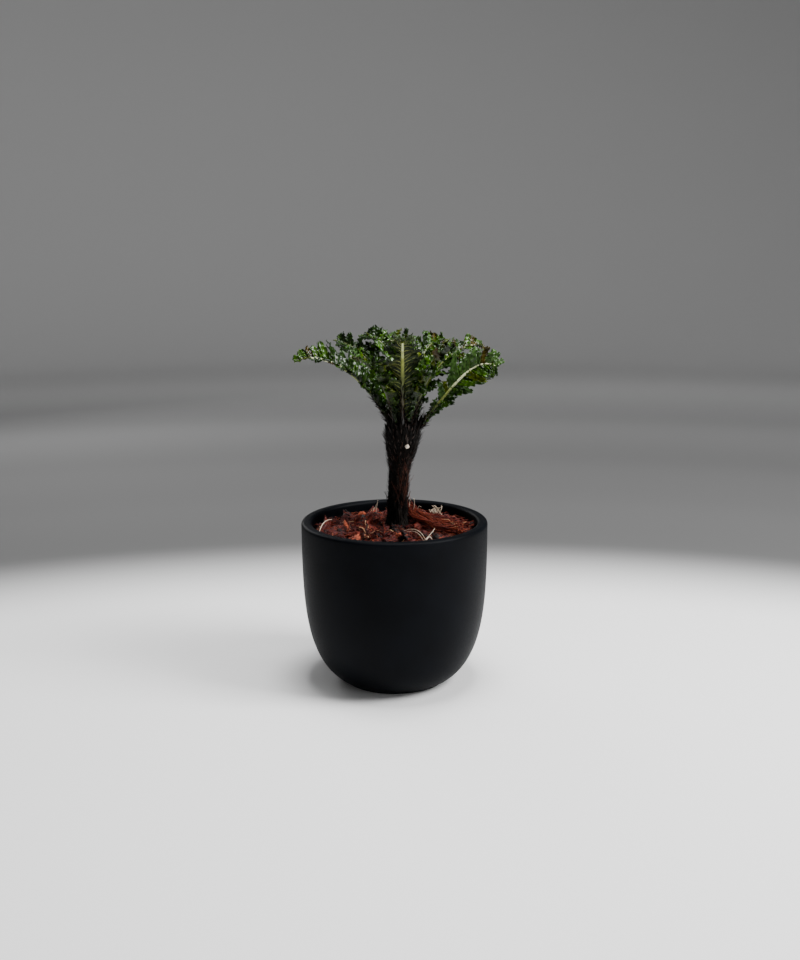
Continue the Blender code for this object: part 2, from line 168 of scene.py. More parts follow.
def bowed(start: Array, ahead: Array, length: Array, bow: Array, rows: int) -> Array:
    """Curved paths: start plus length times (ahead times t plus bow times t squared).

    Args:
        start: Where each path begins.
        ahead: Unit direction in which each path sets out.
        length: Length of each path before it is bowed.
        bow: How each path is drawn aside at its end, as a share of its length.
        rows: Number of points along a path.

    Returns:
        Points of shape (paths, rows, 3).
    """
    share = np.linspace(0.0, 1.0, rows)[None, :, None]
    reach = np.asarray(length)[:, None, None]
    return start[:, None, :] + reach * (ahead[:, None, :] * share + bow[:, None, :] * share**2)


def spun(radius: Array, height: Array, columns: int) -> Array:
    """Turn a profile about Z: x and y are the radius times the cosine and sine of the angle.

    Args:
        radius: Radii of the profile's points.
        height: Heights of the same points.
        columns: Number of points round the axis.

    Returns:
        One grid of shape (1, points, columns, 3).
    """
    angle = np.linspace(0.0, -TURN, columns, endpoint=False)
    x = radius[:, None] * np.cos(angle)
    y = radius[:, None] * np.sin(angle)
    return np.stack([x, y, np.broadcast_to(height[:, None], x.shape)], axis=-1)[None]


class Batch:
    """Sheets and tubes gathered into one mesh, each with the number of its finish."""

    def __init__(self) -> None:
        """Start with nothing gathered."""
        self.points: list[Array] = []
        self.corners: list[Array] = []
        self.starts: list[Array] = []
        self.tints: list[Array] = []
        self.point_count = 0
        self.corner_count = 0

    def _polygons(self, corners: Array, tints: Array) -> None:
        """Gather polygons that all have the same number of corners.

        Args:
            corners: Point numbers of shape (polygons, corners).
            tints: Finish number of each polygon.
        """
        count, size = corners.shape
        self.corners.append(corners.ravel())
        self.starts.append(self.corner_count + np.arange(count) * size)
        self.tints.append(np.asarray(tints).ravel())
        self.corner_count += count * size

    def add(
        self, grids: Array, tints: Array | int = 0, closed: bool = False, capped: bool = False
    ) -> None:
        """Gather many grids of points at once.

        A face's outer side is the one that sees rows run up and columns run to the left.

        Args:
            grids: Points of shape (grids, rows, columns, 3).
            tints: Finish number for all, for each grid, or for each grid and row of faces.
            closed: Whether the last column joins the first.
            capped: Whether the first and last rows are filled.
        """
        many, rows, columns = grids.shape[:3]
        index = np.arange(many * rows * columns).reshape(many, rows, columns) + self.point_count
        rim = index
        if closed:
            index = np.concatenate([index, index[:, :, :1]], axis=2)
        quads = np.stack([
            index[:, :-1, :-1], index[:, 1:, :-1], index[:, 1:, 1:], index[:, :-1, 1:],
        ], -1)
        tint = np.asarray(tints)
        while tint.ndim < 3:
            tint = tint[..., None]
        tint = np.broadcast_to(tint, quads.shape[:3])
        self._polygons(quads.reshape(-1, 4), tint)
        if capped:
            self._polygons(rim[:, 0, :], tint[:, 0, 0])
            self._polygons(rim[:, -1, ::-1], tint[:, -1, 0])
        self.points.append(grids.reshape(-1, 3))
        self.point_count += many * rows * columns

    def piece(self, name: str, finishes: Sequence[bpy.types.Material]) -> bpy.types.Object:
        """Make the gathered faces one object with its finishes.

        Args:
            name: Name of the piece.
            finishes: Materials, in the order of the finish numbers.

        Returns:
            The new object, linked to the scene.
        """
        mesh = bpy.data.meshes.new(name)
        corners = np.concatenate(self.corners).astype(np.int32)
        starts = np.concatenate(self.starts).astype(np.int32)
        mesh.vertices.add(self.point_count)
        mesh.vertices.foreach_set("co", np.concatenate(self.points).astype(np.float32).ravel())
        mesh.loops.add(len(corners))
        mesh.loops.foreach_set("vertex_index", corners)
        mesh.polygons.add(len(starts))
        mesh.polygons.foreach_set("loop_start", starts)
        mesh.polygons.foreach_set("material_index", np.concatenate(self.tints).astype(np.int32))
        mesh.polygons.foreach_set("use_smooth", np.ones(len(starts), dtype=bool))
        for finish in finishes:
            mesh.materials.append(finish)
        mesh.update(calc_edges=True)
        mesh.validate()
        piece = bpy.data.objects.new(name, mesh)
        bpy.context.scene.collection.objects.link(piece)
        return piece


def declare(piece: bpy.types.Object, slot: str, *nodes: str) -> None:
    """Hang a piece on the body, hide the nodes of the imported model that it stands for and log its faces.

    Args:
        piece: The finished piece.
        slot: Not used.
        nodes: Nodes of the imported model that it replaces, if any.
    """
    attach(piece, BODY)
    if nodes:
        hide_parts(*nodes)
    log.info("%s: %d faces", piece.name, len(piece.data.polygons))


# ------------------------------------------------------------------ finishes


@dataclass(frozen=True)
class Finish:
    """A surface with mottled colour, uneven gloss and fine relief, in Object coordinates."""

    name: str
    dark: Colour
    light: Colour
    roughness: float = 0.7
    gloss_wander: float = 0.1
    mottle_pitch: float = 3 * MM
    relief_pitch: float = 0.8 * MM
    relief_depth: float = 0.08 * MM
    stretch: Place = (1.0, 1.0, 1.0)
    specular: float = 0.5
    coat: float = 0.0
    coat_roughness: float = 0.13
    sheen: float = 0.0

    def material(self) -> bpy.types.Material:
        """Make the finish as a node material.

        Returns:
            The material, with its constants set on the shader's own sockets.
        """
        made = bpy.data.materials.new(self.name)
        made.use_nodes = True
        made.diffuse_color = (*self.light, 1.0)
        nodes = made.node_tree.nodes
        link = made.node_tree.links.new
        shader = nodes["Principled BSDF"]
        shader.inputs["Specular IOR Level"].default_value = self.specular
        shader.inputs["Coat Weight"].default_value = self.coat
        shader.inputs["Coat Roughness"].default_value = self.coat_roughness
        shader.inputs["Sheen Weight"].default_value = self.sheen
        place = nodes.new("ShaderNodeTexCoord")
        mapping = nodes.new("ShaderNodeMapping")
        mapping.inputs["Scale"].default_value = self.stretch
        link(place.outputs["Object"], mapping.inputs["Vector"])
        mottle = self.noise(made.node_tree, mapping, self.mottle_pitch, 4.0)
        grain = self.noise(made.node_tree, mapping, self.relief_pitch, 3.0)
        colour = nodes.new("ShaderNodeValToRGB")
        colour.color_ramp.elements[0].position = 0.32
        colour.color_ramp.elements[0].color = (*self.dark, 1.0)
        colour.color_ramp.elements[1].position = 0.68
        colour.color_ramp.elements[1].color = (*self.light, 1.0)
        link(mottle.outputs["Fac"], colour.inputs["Fac"])
        link(colour.outputs["Color"], shader.inputs["Base Color"])
        gloss = nodes.new("ShaderNodeMapRange")
        gloss.inputs["From Min"].default_value = 0.3
        gloss.inputs["From Max"].default_value = 0.7
        gloss.inputs["To Min"].default_value = max(self.roughness - self.gloss_wander, 0.05)
        gloss.inputs["To Max"].default_value = min(self.roughness + self.gloss_wander, 1.0)
        link(grain.outputs["Fac"], gloss.inputs["Value"])
        link(gloss.outputs["Result"], shader.inputs["Roughness"])
        bump = nodes.new("ShaderNodeBump")
        bump.inputs["Strength"].default_value = 0.8
        bump.inputs["Distance"].default_value = self.relief_depth
        link(grain.outputs["Fac"], bump.inputs["Height"])
        link(bump.outputs["Normal"], shader.inputs["Normal"])
        return made

    @staticmethod
    def noise(
        tree: bpy.types.NodeTree, mapping: bpy.types.Node, pitch: float, detail: float
    ) -> bpy.types.Node:
        """Add a noise texture.

        Args:
            tree: The material's nodes.
            mapping: The node that gives the coordinates.
            pitch: Size of the noise's lumps in metres.
            detail: Number of finer layers of noise.

        Returns:
            The noise node.
        """
        noise = tree.nodes.new("ShaderNodeTexNoise")
        noise.inputs["Scale"].default_value = 1.0 / pitch
        noise.inputs["Detail"].default_value = detail
        tree.links.new(mapping.outputs["Vector"], noise.inputs["Vector"])
        return noise


class LeafTint(Enum):
    """Colours of the leaflets: the dark and light of the upper side, then of the underside."""

    # DEEP is a near-black green dealt at random, and also painted shade on most leaflets near a frond's
    # foot, deep in the crown.
    DEEP = (
        (0.0016, 0.0066, 0.0001), (0.0100, 0.0320, 0.0004),
        (0.0018, 0.0046, 0.0001), (0.0062, 0.0135, 0.0003),
    )
    MID = (
        (0.0086, 0.0270, 0.0002), (0.0380, 0.1000, 0.0011),
        (0.0060, 0.0130, 0.0002), (0.0190, 0.0360, 0.0006),
    )
    # BLUE is a pale blue-green that is painted sheen: reflected light on the raised half of a blade that
    # lies on its edge, and on leaflets dealt it at random.
    BLUE = (
        (0.0120, 0.0300, 0.0050), (0.0520, 0.1100, 0.0230),
        (0.0050, 0.0110, 0.0005), (0.0150, 0.0280, 0.0016),
    )
    OLIVE = (
        (0.0220, 0.0320, 0.0008), (0.0760, 0.1060, 0.0024),
        (0.0100, 0.0130, 0.0005), (0.0280, 0.0340, 0.0015),
    )
    BROWN = (
        (0.0150, 0.0120, 0.0008), (0.0560, 0.0410, 0.0026),
        (0.0170, 0.0100, 0.0007), (0.0460, 0.0300, 0.0028),
    )

    def upper(self) -> Finish:
        """The waxy upper side of this colour."""
        dark, light = self.value[:2]
        return Finish(
            f"leaf_{self.name.lower()}", dark, light, roughness=0.40, gloss_wander=0.08,
            mottle_pitch=2.2 * MM, relief_pitch=0.7 * MM, relief_depth=0.08 * MM, specular=0.05, coat=0.38,
        )

    def underside(self) -> Finish:
        """The duller, yellower underside of this colour; it is also darker than the upper side, as painted
        shade on the side that faces away from the light.
        """
        dark, light = self.value[2:]
        return Finish(
            f"leaf_{self.name.lower()}_under", dark, light, roughness=0.58, gloss_wander=0.08,
            mottle_pitch=2.2 * MM, relief_pitch=0.7 * MM, relief_depth=0.08 * MM, specular=0.25,
        )


class RibTint(Enum):
    """Colours of the stipe and rib from the foot outwards."""

    BLACK_BROWN = ((0.0020, 0.0012, 0.0008), (0.012, 0.007, 0.004))
    BROWN = ((0.024, 0.018, 0.004), (0.060, 0.050, 0.012))
    GREEN = ((0.016, 0.026, 0.002), (0.040, 0.058, 0.004))
    PALE_GREEN = ((0.170, 0.200, 0.028), (0.290, 0.320, 0.070))
    CREAM = ((0.640, 0.680, 0.340), (0.880, 0.920, 0.580))

    @classmethod
    def finishes(cls, steps: int) -> list[Finish]:
        """The smooth finishes from the first colour to the last.

        Args:
            steps: Number of even mixes from each colour to the next.

        Returns:
            One finish for each mix.
        """
        anchors = np.array([tint.value for tint in cls])
        places = np.linspace(0.0, len(anchors) - 1.0, (len(anchors) - 1) * steps + 1)
        low = np.minimum(places.astype(int), len(anchors) - 2)
        share = (places - low)[:, None, None]
        mixes = anchors[low] * (1.0 - share) + anchors[low + 1] * share
        return [
            Finish(f"rib_{index:02d}", tuple(dark), tuple(light), roughness=0.42, relief_depth=0.05 * MM)
            for index, (dark, light) in enumerate(mixes)
        ]


class HuskTint(Enum):
    """Colours of the husk, from a near-black that is painted shade on the bed and on shadowed lumps to its
    dry pale threads.
    """

    # DARK is near-black: painted shade on the whole bed, in the hollows between the lumps, and on the lumps
    # and fibres dealt it at random.
    DARK = ((0.001, 0.0003, 0.0003), (0.0092, 0.001, 0.0008))
    RED = ((0.015, 0.0011, 0.0008), (0.088, 0.0067, 0.0042))
    RUST = ((0.052, 0.005, 0.0025), (0.21, 0.025, 0.011))
    ORANGE = ((0.17, 0.025, 0.0092), (0.37, 0.076, 0.029))
    STRAW = ((0.420, 0.190, 0.085), (0.700, 0.420, 0.230))

    def finish(self) -> Finish:
        """The dry fibrous finish of this husk."""
        dark, light = self.value
        return Finish(
            f"husk_{self.name.lower()}", dark, light, roughness=0.66, gloss_wander=0.12,
            mottle_pitch=1.4 * MM, relief_pitch=0.35 * MM, relief_depth=0.20 * MM, specular=0.26,
        )


POT_BLACK = Finish(
    "matt_black", (0.0008, 0.0011, 0.0018), (0.0017, 0.0023, 0.0036), roughness=0.50, gloss_wander=0.05,
    mottle_pitch=26 * MM, relief_pitch=1.1 * MM, relief_depth=0.012 * MM, specular=0.045,
)
BARK = Finish(
    "bark", (0.0008, 0.0006, 0.0005), (0.0060, 0.0040, 0.0030), roughness=0.74, gloss_wander=0.12,
    mottle_pitch=2.4 * MM, relief_pitch=0.5 * MM, relief_depth=0.30 * MM, stretch=(1.0, 1.0, 0.35),
    specular=0.08,
)
STUB_END = Finish("stub_end", (0.004, 0.002, 0.001), (0.020, 0.010, 0.006), roughness=0.8, specular=0.2)
BARK_FIBRE = Finish("bark_fibre", (0.024, 0.008, 0.005), (0.090, 0.030, 0.018), roughness=0.7, specular=0.2)
SCALE_DARK = Finish(
    "scale_dark", (0.0006, 0.0004, 0.0003), (0.0040, 0.0026, 0.0019), roughness=0.6, specular=0.10
)
SCALE_BROWN = Finish("scale_brown", (0.010, 0.004, 0.002), (0.034, 0.014, 0.007), roughness=0.55)
PALE_WOOD = Finish("pale_wood", (0.50, 0.40, 0.31), (0.78, 0.68, 0.56), roughness=0.6)
ROOTLET = Finish("rootlet", (0.45, 0.33, 0.22), (0.80, 0.68, 0.54), roughness=0.55)


# ------------------------------------------------------------------ pot


@dataclass
class Pot:
    """A thick turned pot with a rounded lip, straight above and bellied below."""

    wall: float = 6.5 * MM
    floor: float = 8 * MM
    flare_depth: float = 4.5 * MM
    depth_power: float = 3.62
    belly_power: float = 3.3
    rim_round: float = 2.0 * MM
    foot_round: float = 0.7 * MM
    columns: int = 224
    height: float = field(default_factory=lambda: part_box("pot")[1][2])
    radius: float = field(default_factory=lambda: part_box("pot")[1][0])

    def outer(self, level: Array) -> Array:
        """Outer radius: full width times the root of one less a power of the depth."""
        depth = (self.height - level) / (self.height + self.flare_depth)
        return self.radius * (1.0 - depth**self.depth_power) ** (1.0 / self.belly_power)

    def bore(self, level: Array) -> Array:
        """Inner radius at a level above the floor."""
        return self.outer(level) - self.wall

    def profile(self) -> tuple[Array, Array]:
        """The section from the inner floor over the lip to the middle of the underside.

        Returns:
            Radii and heights of the section's points.
        """
        lip = self.height - self.rim_round
        inside = self.floor + (lip - self.floor) * np.linspace(0.0, 1.0, 40, endpoint=False) ** 1.6
        turn = np.linspace(0.0, 0.5 * np.pi, 9)
        inner_lip = self.bore(self.height) + self.rim_round * (1.0 - np.cos(turn))
        outer_lip = self.radius - self.rim_round * (1.0 - np.sin(turn))
        lip_rise = self.rim_round * np.sin(turn)
        outside = lip * (1.0 - np.linspace(0.0, 1.0, 64)[1:-1]) ** 1.5
        outside = outside[outside > self.foot_round]
        foot_turn = np.linspace(0.0, 0.5 * np.pi, 6)
        foot = self.outer(np.array(self.foot_round))
        foot_radius = foot - self.foot_round * (1.0 - np.cos(foot_turn))
        foot_level = self.foot_round * (1.0 - np.sin(foot_turn))
        radius = np.concatenate([
            np.linspace(0.0, 1.0, 8, endpoint=False) * self.bore(np.array(self.floor)),
            self.bore(inside), inner_lip, outer_lip, self.outer(outside), foot_radius,
            np.linspace(foot_radius[-1], 0.0, 6)[1:],
        ])
        height = np.concatenate([
            np.full(8, self.floor), inside, lip + lip_rise, lip + lip_rise[::-1], outside,
            foot_level, np.zeros(5),
        ])
        return np.maximum(radius, 0.01 * MM), height

    def build(self) -> None:
        """Turn the section into the pot and dress it."""
        batch = Batch()
        radius, height = self.profile()
        batch.add(spun(radius, height, self.columns), closed=True, capped=True)
        declare(batch.piece("pot_shell", [POT_BLACK.material()]), "matt_black", "pot")


# ------------------------------------------------------------------ trunk


@dataclass
class Trunk:
    """The dark trunk: a slim waist, a flared crown head and a spiral of old stubs."""

    depth: float = 2.5 * MM
    head_x: float = 5.5 * MM
    head_level: float = 160 * MM
    head_radius: float = 11.2 * MM
    head_rise: float = 6 * MM
    stub_count: int = 42
    stub_length: float = 6.5 * MM
    stub_radius: float = 1.5 * MM
    cut_stub: tuple[float, float] = (8.1 * MM, 155.2 * MM)
    rows: int = 250
    head_rows: int = 34
    columns: int = 170
    ridge_count: int = 30
    ridge_depth: float = 0.26 * MM
    swelling: float = 0.9 * MM
    swelling_width: float = 1.7 * MM
    swelling_height: float = 3.2 * MM
    hair_count: int = 1500
    fibre_count: int = 520
    seed: int = 3
    foot: float = field(default_factory=lambda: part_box("trunk")[0][2])
    # Height above the pot's underside, lean along X and radius, in millimetres
    stations: tuple[tuple[float, float, float], ...] = (
        (101.8, 2.4, 8.2), (106.0, 2.3, 6.8), (113.0, 2.2, 5.8), (121.0, 2.3, 5.3), (129.0, 3.0, 5.6),
        (134.5, 2.9, 5.2), (141.5, 3.8, 6.4), (150.0, 4.9, 8.4), (160.0, 5.5, 11.2),
    )

    def section(self, level: Array) -> tuple[Array, Array]:
        """Lean along X and radius at a level, along straight runs between the stations."""
        levels, leans, radii = (np.array(column) * MM for column in zip(*self.stations))
        return np.interp(level, levels, leans), np.interp(level, levels, radii)

    def head_top(self, reach: Array) -> Array:
        """Level of the rounded head at a distance from its axis, by an ellipse."""
        share = np.clip(np.asarray(reach) / self.head_radius, 0.0, 1.0)
        return self.head_level + self.head_rise * np.sqrt(1.0 - share * share)

    def on_head(self, reach: Array, heading: Array, lift: float) -> Array:
        """Points over the crown head.

        Args:
            reach: Distances from the head's axis.
            heading: Angles about it.
            lift: How far the points lie above the head's surface.

        Returns:
            Points, with x, y, z on the last axis.
        """
        x = self.head_x + reach * np.cos(heading)
        y = self.depth + reach * np.sin(heading)
        return np.stack([x, y, self.head_top(reach) + lift], axis=-1)

    def bark(self) -> Batch:
        """The barked surface: stringy ridges and swellings round the old stubs.

        The radius at an angle and a level is the section's radius, plus ridges that run
        up the trunk (sines of the angle that drift with the level), plus a soft swelling
        at the root of each stub, all fading over the rounded head.

        Returns:
            The closed surface.
        """
        rng = np.random.default_rng(self.seed)
        rise = np.linspace(self.foot, self.head_level, self.rows - self.head_rows)
        lean, radius = self.section(rise)
        over = np.linspace(0.0, 0.49 * np.pi, self.head_rows + 1)[1:]
        level = np.concatenate([rise, self.head_level + self.head_rise * np.sin(over)])
        lean = np.concatenate([lean, np.full(self.head_rows, self.head_x)])
        radius = np.concatenate([radius, self.head_radius * np.cos(over)])
        fade = np.concatenate([np.ones(len(rise)), np.cos(over)])[:, None]
        angle = np.linspace(0.0, -TURN, self.columns, endpoint=False)[None, :]
        relief = np.zeros((len(level), self.columns))
        for fold in rng.integers(5, 40, self.ridge_count):
            drift = rng.uniform(-900, 900)
            phase = rng.uniform(0, TURN)
            weight = self.ridge_depth * rng.uniform(0.4, 1.0) * (10.0 / (fold + 6.0)) ** 0.5
            rippled = level[:, None] * rng.uniform(250, 1200)
            patch = 0.5 + 0.5 * np.sin(rippled + angle * rng.integers(1, 4) + phase)
            relief += weight * patch * np.sin(fold * angle + drift * level[:, None] + phase)
        for heading, height, _ in self.stubs():
            gap = (angle - heading + np.pi) % TURN - np.pi
            aside = gap * radius[:, None] / self.swelling_width
            above = (level[:, None] - height) / self.swelling_height
            relief += self.swelling * np.exp(-(aside**2 + above**2))
        around = radius[:, None] + relief * fade
        x = lean[:, None] + around * np.cos(angle)
        y = self.depth + around * np.sin(angle)
        batch = Batch()
        grid = np.stack([x, y, np.broadcast_to(level[:, None], x.shape)], axis=-1)
        batch.add(grid[None, ::-1], closed=True, capped=True)
        return batch

    def stubs(self) -> list[tuple[float, float, float]]:
        """Lay the old stubs out on a golden spiral.

        Returns:
            Heading, root level and length share of each stub.
        """
        dice = np.random.default_rng(self.seed)
        found = []
        for index in range(self.stub_count):
            share = (index + 0.5) / self.stub_count
            level = self.foot + 7 * MM + (self.head_level - self.foot - 10 * MM) * share
            found.append((index * GOLDEN_ANGLE, level, dice.uniform(0.75, 1.15) * (1 + 0.3 * share)))
        return found

    def on_bark(self, heading: Array, level: Array, sink: float = 0.0) -> tuple[Array, Array]:
        """Points on the trunk and their outward directions.

        Args:
            heading: Angles about the trunk.
            level: Heights above the pot's underside.
            sink: How far the points lie under the surface.

        Returns:
            Points and unit outward directions, each of shape (count, 3).
        """
        lean, radius = self.section(level)
        outward = np.stack([np.cos(heading), np.sin(heading), np.zeros_like(heading)], axis=-1)
        reach = (radius - sink)[:, None]
        axis = np.stack([lean, np.full_like(lean, self.depth), level], axis=-1)
        return axis + outward * reach, outward

    def stub_pegs(self) -> Batch:
        """Old stubs: rough tapering pegs that leave the bark and bend upwards.

        Each is a round profile whose radius tapers along a bowed path, pushed in and out by
        seeded waves.

        Returns:
            The pegs, with the broken end of each in the second finish.
        """
        rng = np.random.default_rng(self.seed + 1)
        heading, level, share = (np.array(column) for column in zip(*self.stubs()))
        root, outward = self.on_bark(heading, level, 1.3 * MM)
        rise = np.radians(rng.uniform(64, 74, len(heading)))[:, None]
        ahead = outward * np.cos(rise) + UP * np.sin(rise)
        bow = UP * 0.20 - outward * 0.10
        path = bowed(root, ahead, self.stub_length * share, bow, 9)
        taper = np.array([1.2, 1.15, 1.08, 1.0, 0.92, 0.84, 0.74, 0.60, 0.36]) * np.ones((len(heading), 1))
        taper = taper * rng.uniform(0.65, 1.1, (len(heading), 1))
        rings = tubes(path, self.stub_radius * taper, 10)
        centre = path[:, :, None, :]
        rings = centre + (rings - centre) * (1.0 + 0.30 * waves(rings, 1.2 * MM, rng)[..., None])
        batch = Batch()
        tints = np.zeros((len(heading), 8), dtype=int)
        tints[:, -1] = 1
        batch.add(rings, tints, closed=True, capped=True)
        return batch

    def cut_peg(self) -> Batch:
        """One stub cut clean, with a pale round end that faces the front.

        It is a round profile along a short straight path that starts inside the trunk.

        Returns:
            The peg, with its cut end in the second finish.
        """
        x, level = self.cut_stub
        lean, radius = self.section(np.array([level]))
        offset = x - lean[0]
        y = self.depth - np.sqrt(radius[0] ** 2 - offset**2)
        start = np.array([[x - 0.2 * MM, y + 1.5 * MM, level - 0.4 * MM]])
        ahead = unit(np.array([[0.16, -1.0, 0.14]]))
        path = bowed(start, ahead, np.array([3.6 * MM]), np.zeros((1, 3)), 10)
        radius_along = np.array([1.5, 1.45, 1.4, 1.36, 1.34, 1.33, 1.32, 1.30, 1.12, 0.6]) * MM
        tints = np.array([[0] * 6 + [1] * 3])
        batch = Batch()
        batch.add(tubes(path, radius_along[None], 20), tints, closed=True, capped=True)
        return batch

    def hairs(self) -> Batch:
        """Wiry hairs that stand out of the bark and bend upwards.

        Each is a three-sided tube that thins along a bowed path.

        Returns:
            The hairs, a few of them in the second finish.
        """
        rng = np.random.default_rng(self.seed + 2)
        count = self.hair_count
        heading = rng.uniform(0, TURN, count)
        level = self.foot + (self.head_level - self.foot) * rng.beta(2.4, 1.3, count)
        root, outward = self.on_bark(heading, level, 0.4 * MM)
        sway = rng.normal(scale=0.35, size=(count, 3))
        ahead = unit(outward + np.array([0, 0, 0.2]) + sway)
        bow = np.array([0, 0, 0.7]) * rng.uniform(0.2, 1.2, (count, 1)) - outward * 0.25
        path = bowed(root, ahead, rng.uniform(1.2, 4.2, count) * MM, bow, 6)
        radius = np.linspace(0.15, 0.04, 6)[None] * MM * rng.uniform(0.7, 1.2, (count, 1))
        batch = Batch()
        batch.add(tubes(path, radius, 3), (rng.random(count) < 0.12).astype(int), closed=True)
        return batch

    def fibres(self) -> Batch:
        """Reddish fibres that lie along the bark, most of them on the slim waist's right.

        Each is a four-sided tube along a bowed path, moved out from the trunk's axis where
        it would sink into the bark.

        Returns:
            The fibres, the reddish ones in the second finish.
        """
        rng = np.random.default_rng(self.seed + 4)
        count = self.fibre_count
        right = rng.random(count) < 0.55
        heading = np.where(right, rng.normal(-0.7, 0.55, count), rng.uniform(0, TURN, count))
        level = np.where(right, rng.uniform(114, 142, count), rng.uniform(103, 156, count)) * MM
        root, outward = self.on_bark(heading, level, -0.15 * MM)
        along = np.cross(UP, outward)
        lie = rng.normal(scale=0.28, size=(count, 1))
        ahead = unit(UP + along * lie + outward * rng.uniform(-0.05, 0.2, (count, 1)))
        bow = along * rng.normal(scale=0.2, size=(count, 1))
        bow = bow + outward * rng.uniform(-0.1, 0.15, (count, 1))
        path = bowed(root, ahead, rng.uniform(4, 11, count) * MM, bow, 8)
        lean, radius = self.section(path[..., 2])
        axis = np.stack([lean, np.full_like(lean, self.depth), path[..., 2]], axis=-1)
        away = path - axis
        reach = np.linalg.norm(away, axis=-1)
        out = np.maximum(reach, radius + 0.25 * MM) / np.maximum(reach, 1e-9)
        path = axis + away * out[..., None]
        thick = np.linspace(0.24, 0.08, 8)[None] * MM * rng.uniform(0.6, 1.2, (count, 1))
        tints = np.where(right & (rng.random(count) < 0.75), 1, 0)
        batch = Batch()
        batch.add(tubes(path, thick, 4), tints, closed=True)
        return batch

    def build(self) -> None:
        """Build and dress the trunk's pieces."""
        bark = BARK.material()
        hair = [SCALE_DARK.material(), SCALE_BROWN.material()]
        fibre = [SCALE_DARK.material(), BARK_FIBRE.material()]
        declare(self.bark().piece("trunk_bark", [bark]), "bark", "trunk")
        declare(self.stub_pegs().piece("trunk_stubs", [bark, STUB_END.material()]), "bark")
        declare(self.cut_peg().piece("trunk_cut_stub", [bark, PALE_WOOD.material()]), "bark")
        declare(self.hairs().piece("trunk_hairs", hair), "bark")
        declare(self.fibres().piece("trunk_fibres", fibre), "bark")


# ------------------------------------------------------------------ fronds


@dataclass(frozen=True)
class FrondSize:
    """The sizes of one arching frond; lengths in millimetres, angles in degrees."""

    name: str
    heading: float
    foot: float
    length: float
    rise: float
    end_rise: float
    bend: float
    sweep: float
    roll: float
    end_roll: float
    fold: float
    half_width: float
    foot_width: float = 0.45  # length of the lowest leaflets as a share of the longest
    widest: float = 0.55  # share of the length where the leaflets are longest
    tip_taper: float = 0.72  # loss of leaflet length from there to the tip
    left: float = 1.0  # length of the leaflets on the left as a share of those on the right
    rib: tuple[float, ...] = (0.10, 0.18, 0.34, 2.40, 3.00)  # where the rib has each of its colours
    vein: float = 2.1  # colour of the veins, from 0 for the first of the rib's colours to 4
    turning: float = 0.0  # share of the leaflets near the tip that have turned brown
    stout: float = 1.0  # width of the rib as a share of the usual


FRONDS = (
    FrondSize(
        "frond_01", -16, 9.5, 69.5, 51, -37, 6.0, 4, -40, -80, 10, 14.5,
        foot_width=0.12, widest=0.62, tip_taper=0.6, rib=(0.05, 0.14, 0.26, 0.46, 0.62), turning=0.15,
    ),
    FrondSize(
        "frond_02", 18, 7.0, 77, 76, -2, 1.6, 11, -5, -30, 25, 13,
        rib=(0.08, 0.13, 0.22, 0.80, 1.20), turning=0.2,
    ),
    FrondSize("frond_03", 48, 6.5, 73, 86, -7, 1.9, 12, -10, -30, 28, 13, turning=0.3),
    FrondSize("frond_04", 76, 5.5, 69, 88, 3, 2.3, 44, 0, 15, 28, 12.5),
    FrondSize("frond_05", 112, 5.0, 73.5, 85, -15, 2.6, 35, 5, 18, 28, 12.5),
    FrondSize("frond_06", 152, 6.0, 75, 85, 11, 1.1, -12, 15, 35, 28, 13),
    FrondSize(
        "frond_07", 188, 6.0, 82, 58, -16, 2.2, 12, 28, 36, 40, 16,
        foot_width=0.34, widest=0.42, tip_taper=0.84, left=0.45,
        rib=(0.08, 0.17, 0.30, 0.58, 0.74), turning=0.1,
    ),
    FrondSize("frond_08", 228, 7.0, 67, 78, 14, 1.3, 8, 35, 45, 28, 13.5),
    FrondSize(
        "frond_09", 270, 6.0, 81, 70, 17, 1.6, 0, 0, 0, 28, 14,
        rib=(0.14, 0.24, 0.38, 0.66, 1.06), vein=2.9, stout=1.3,
    ),
    FrondSize("frond_10", 310, 7.0, 76, 68, 18, 1.6, -11, -35, -45, 28, 13.5, turning=0.15),
)


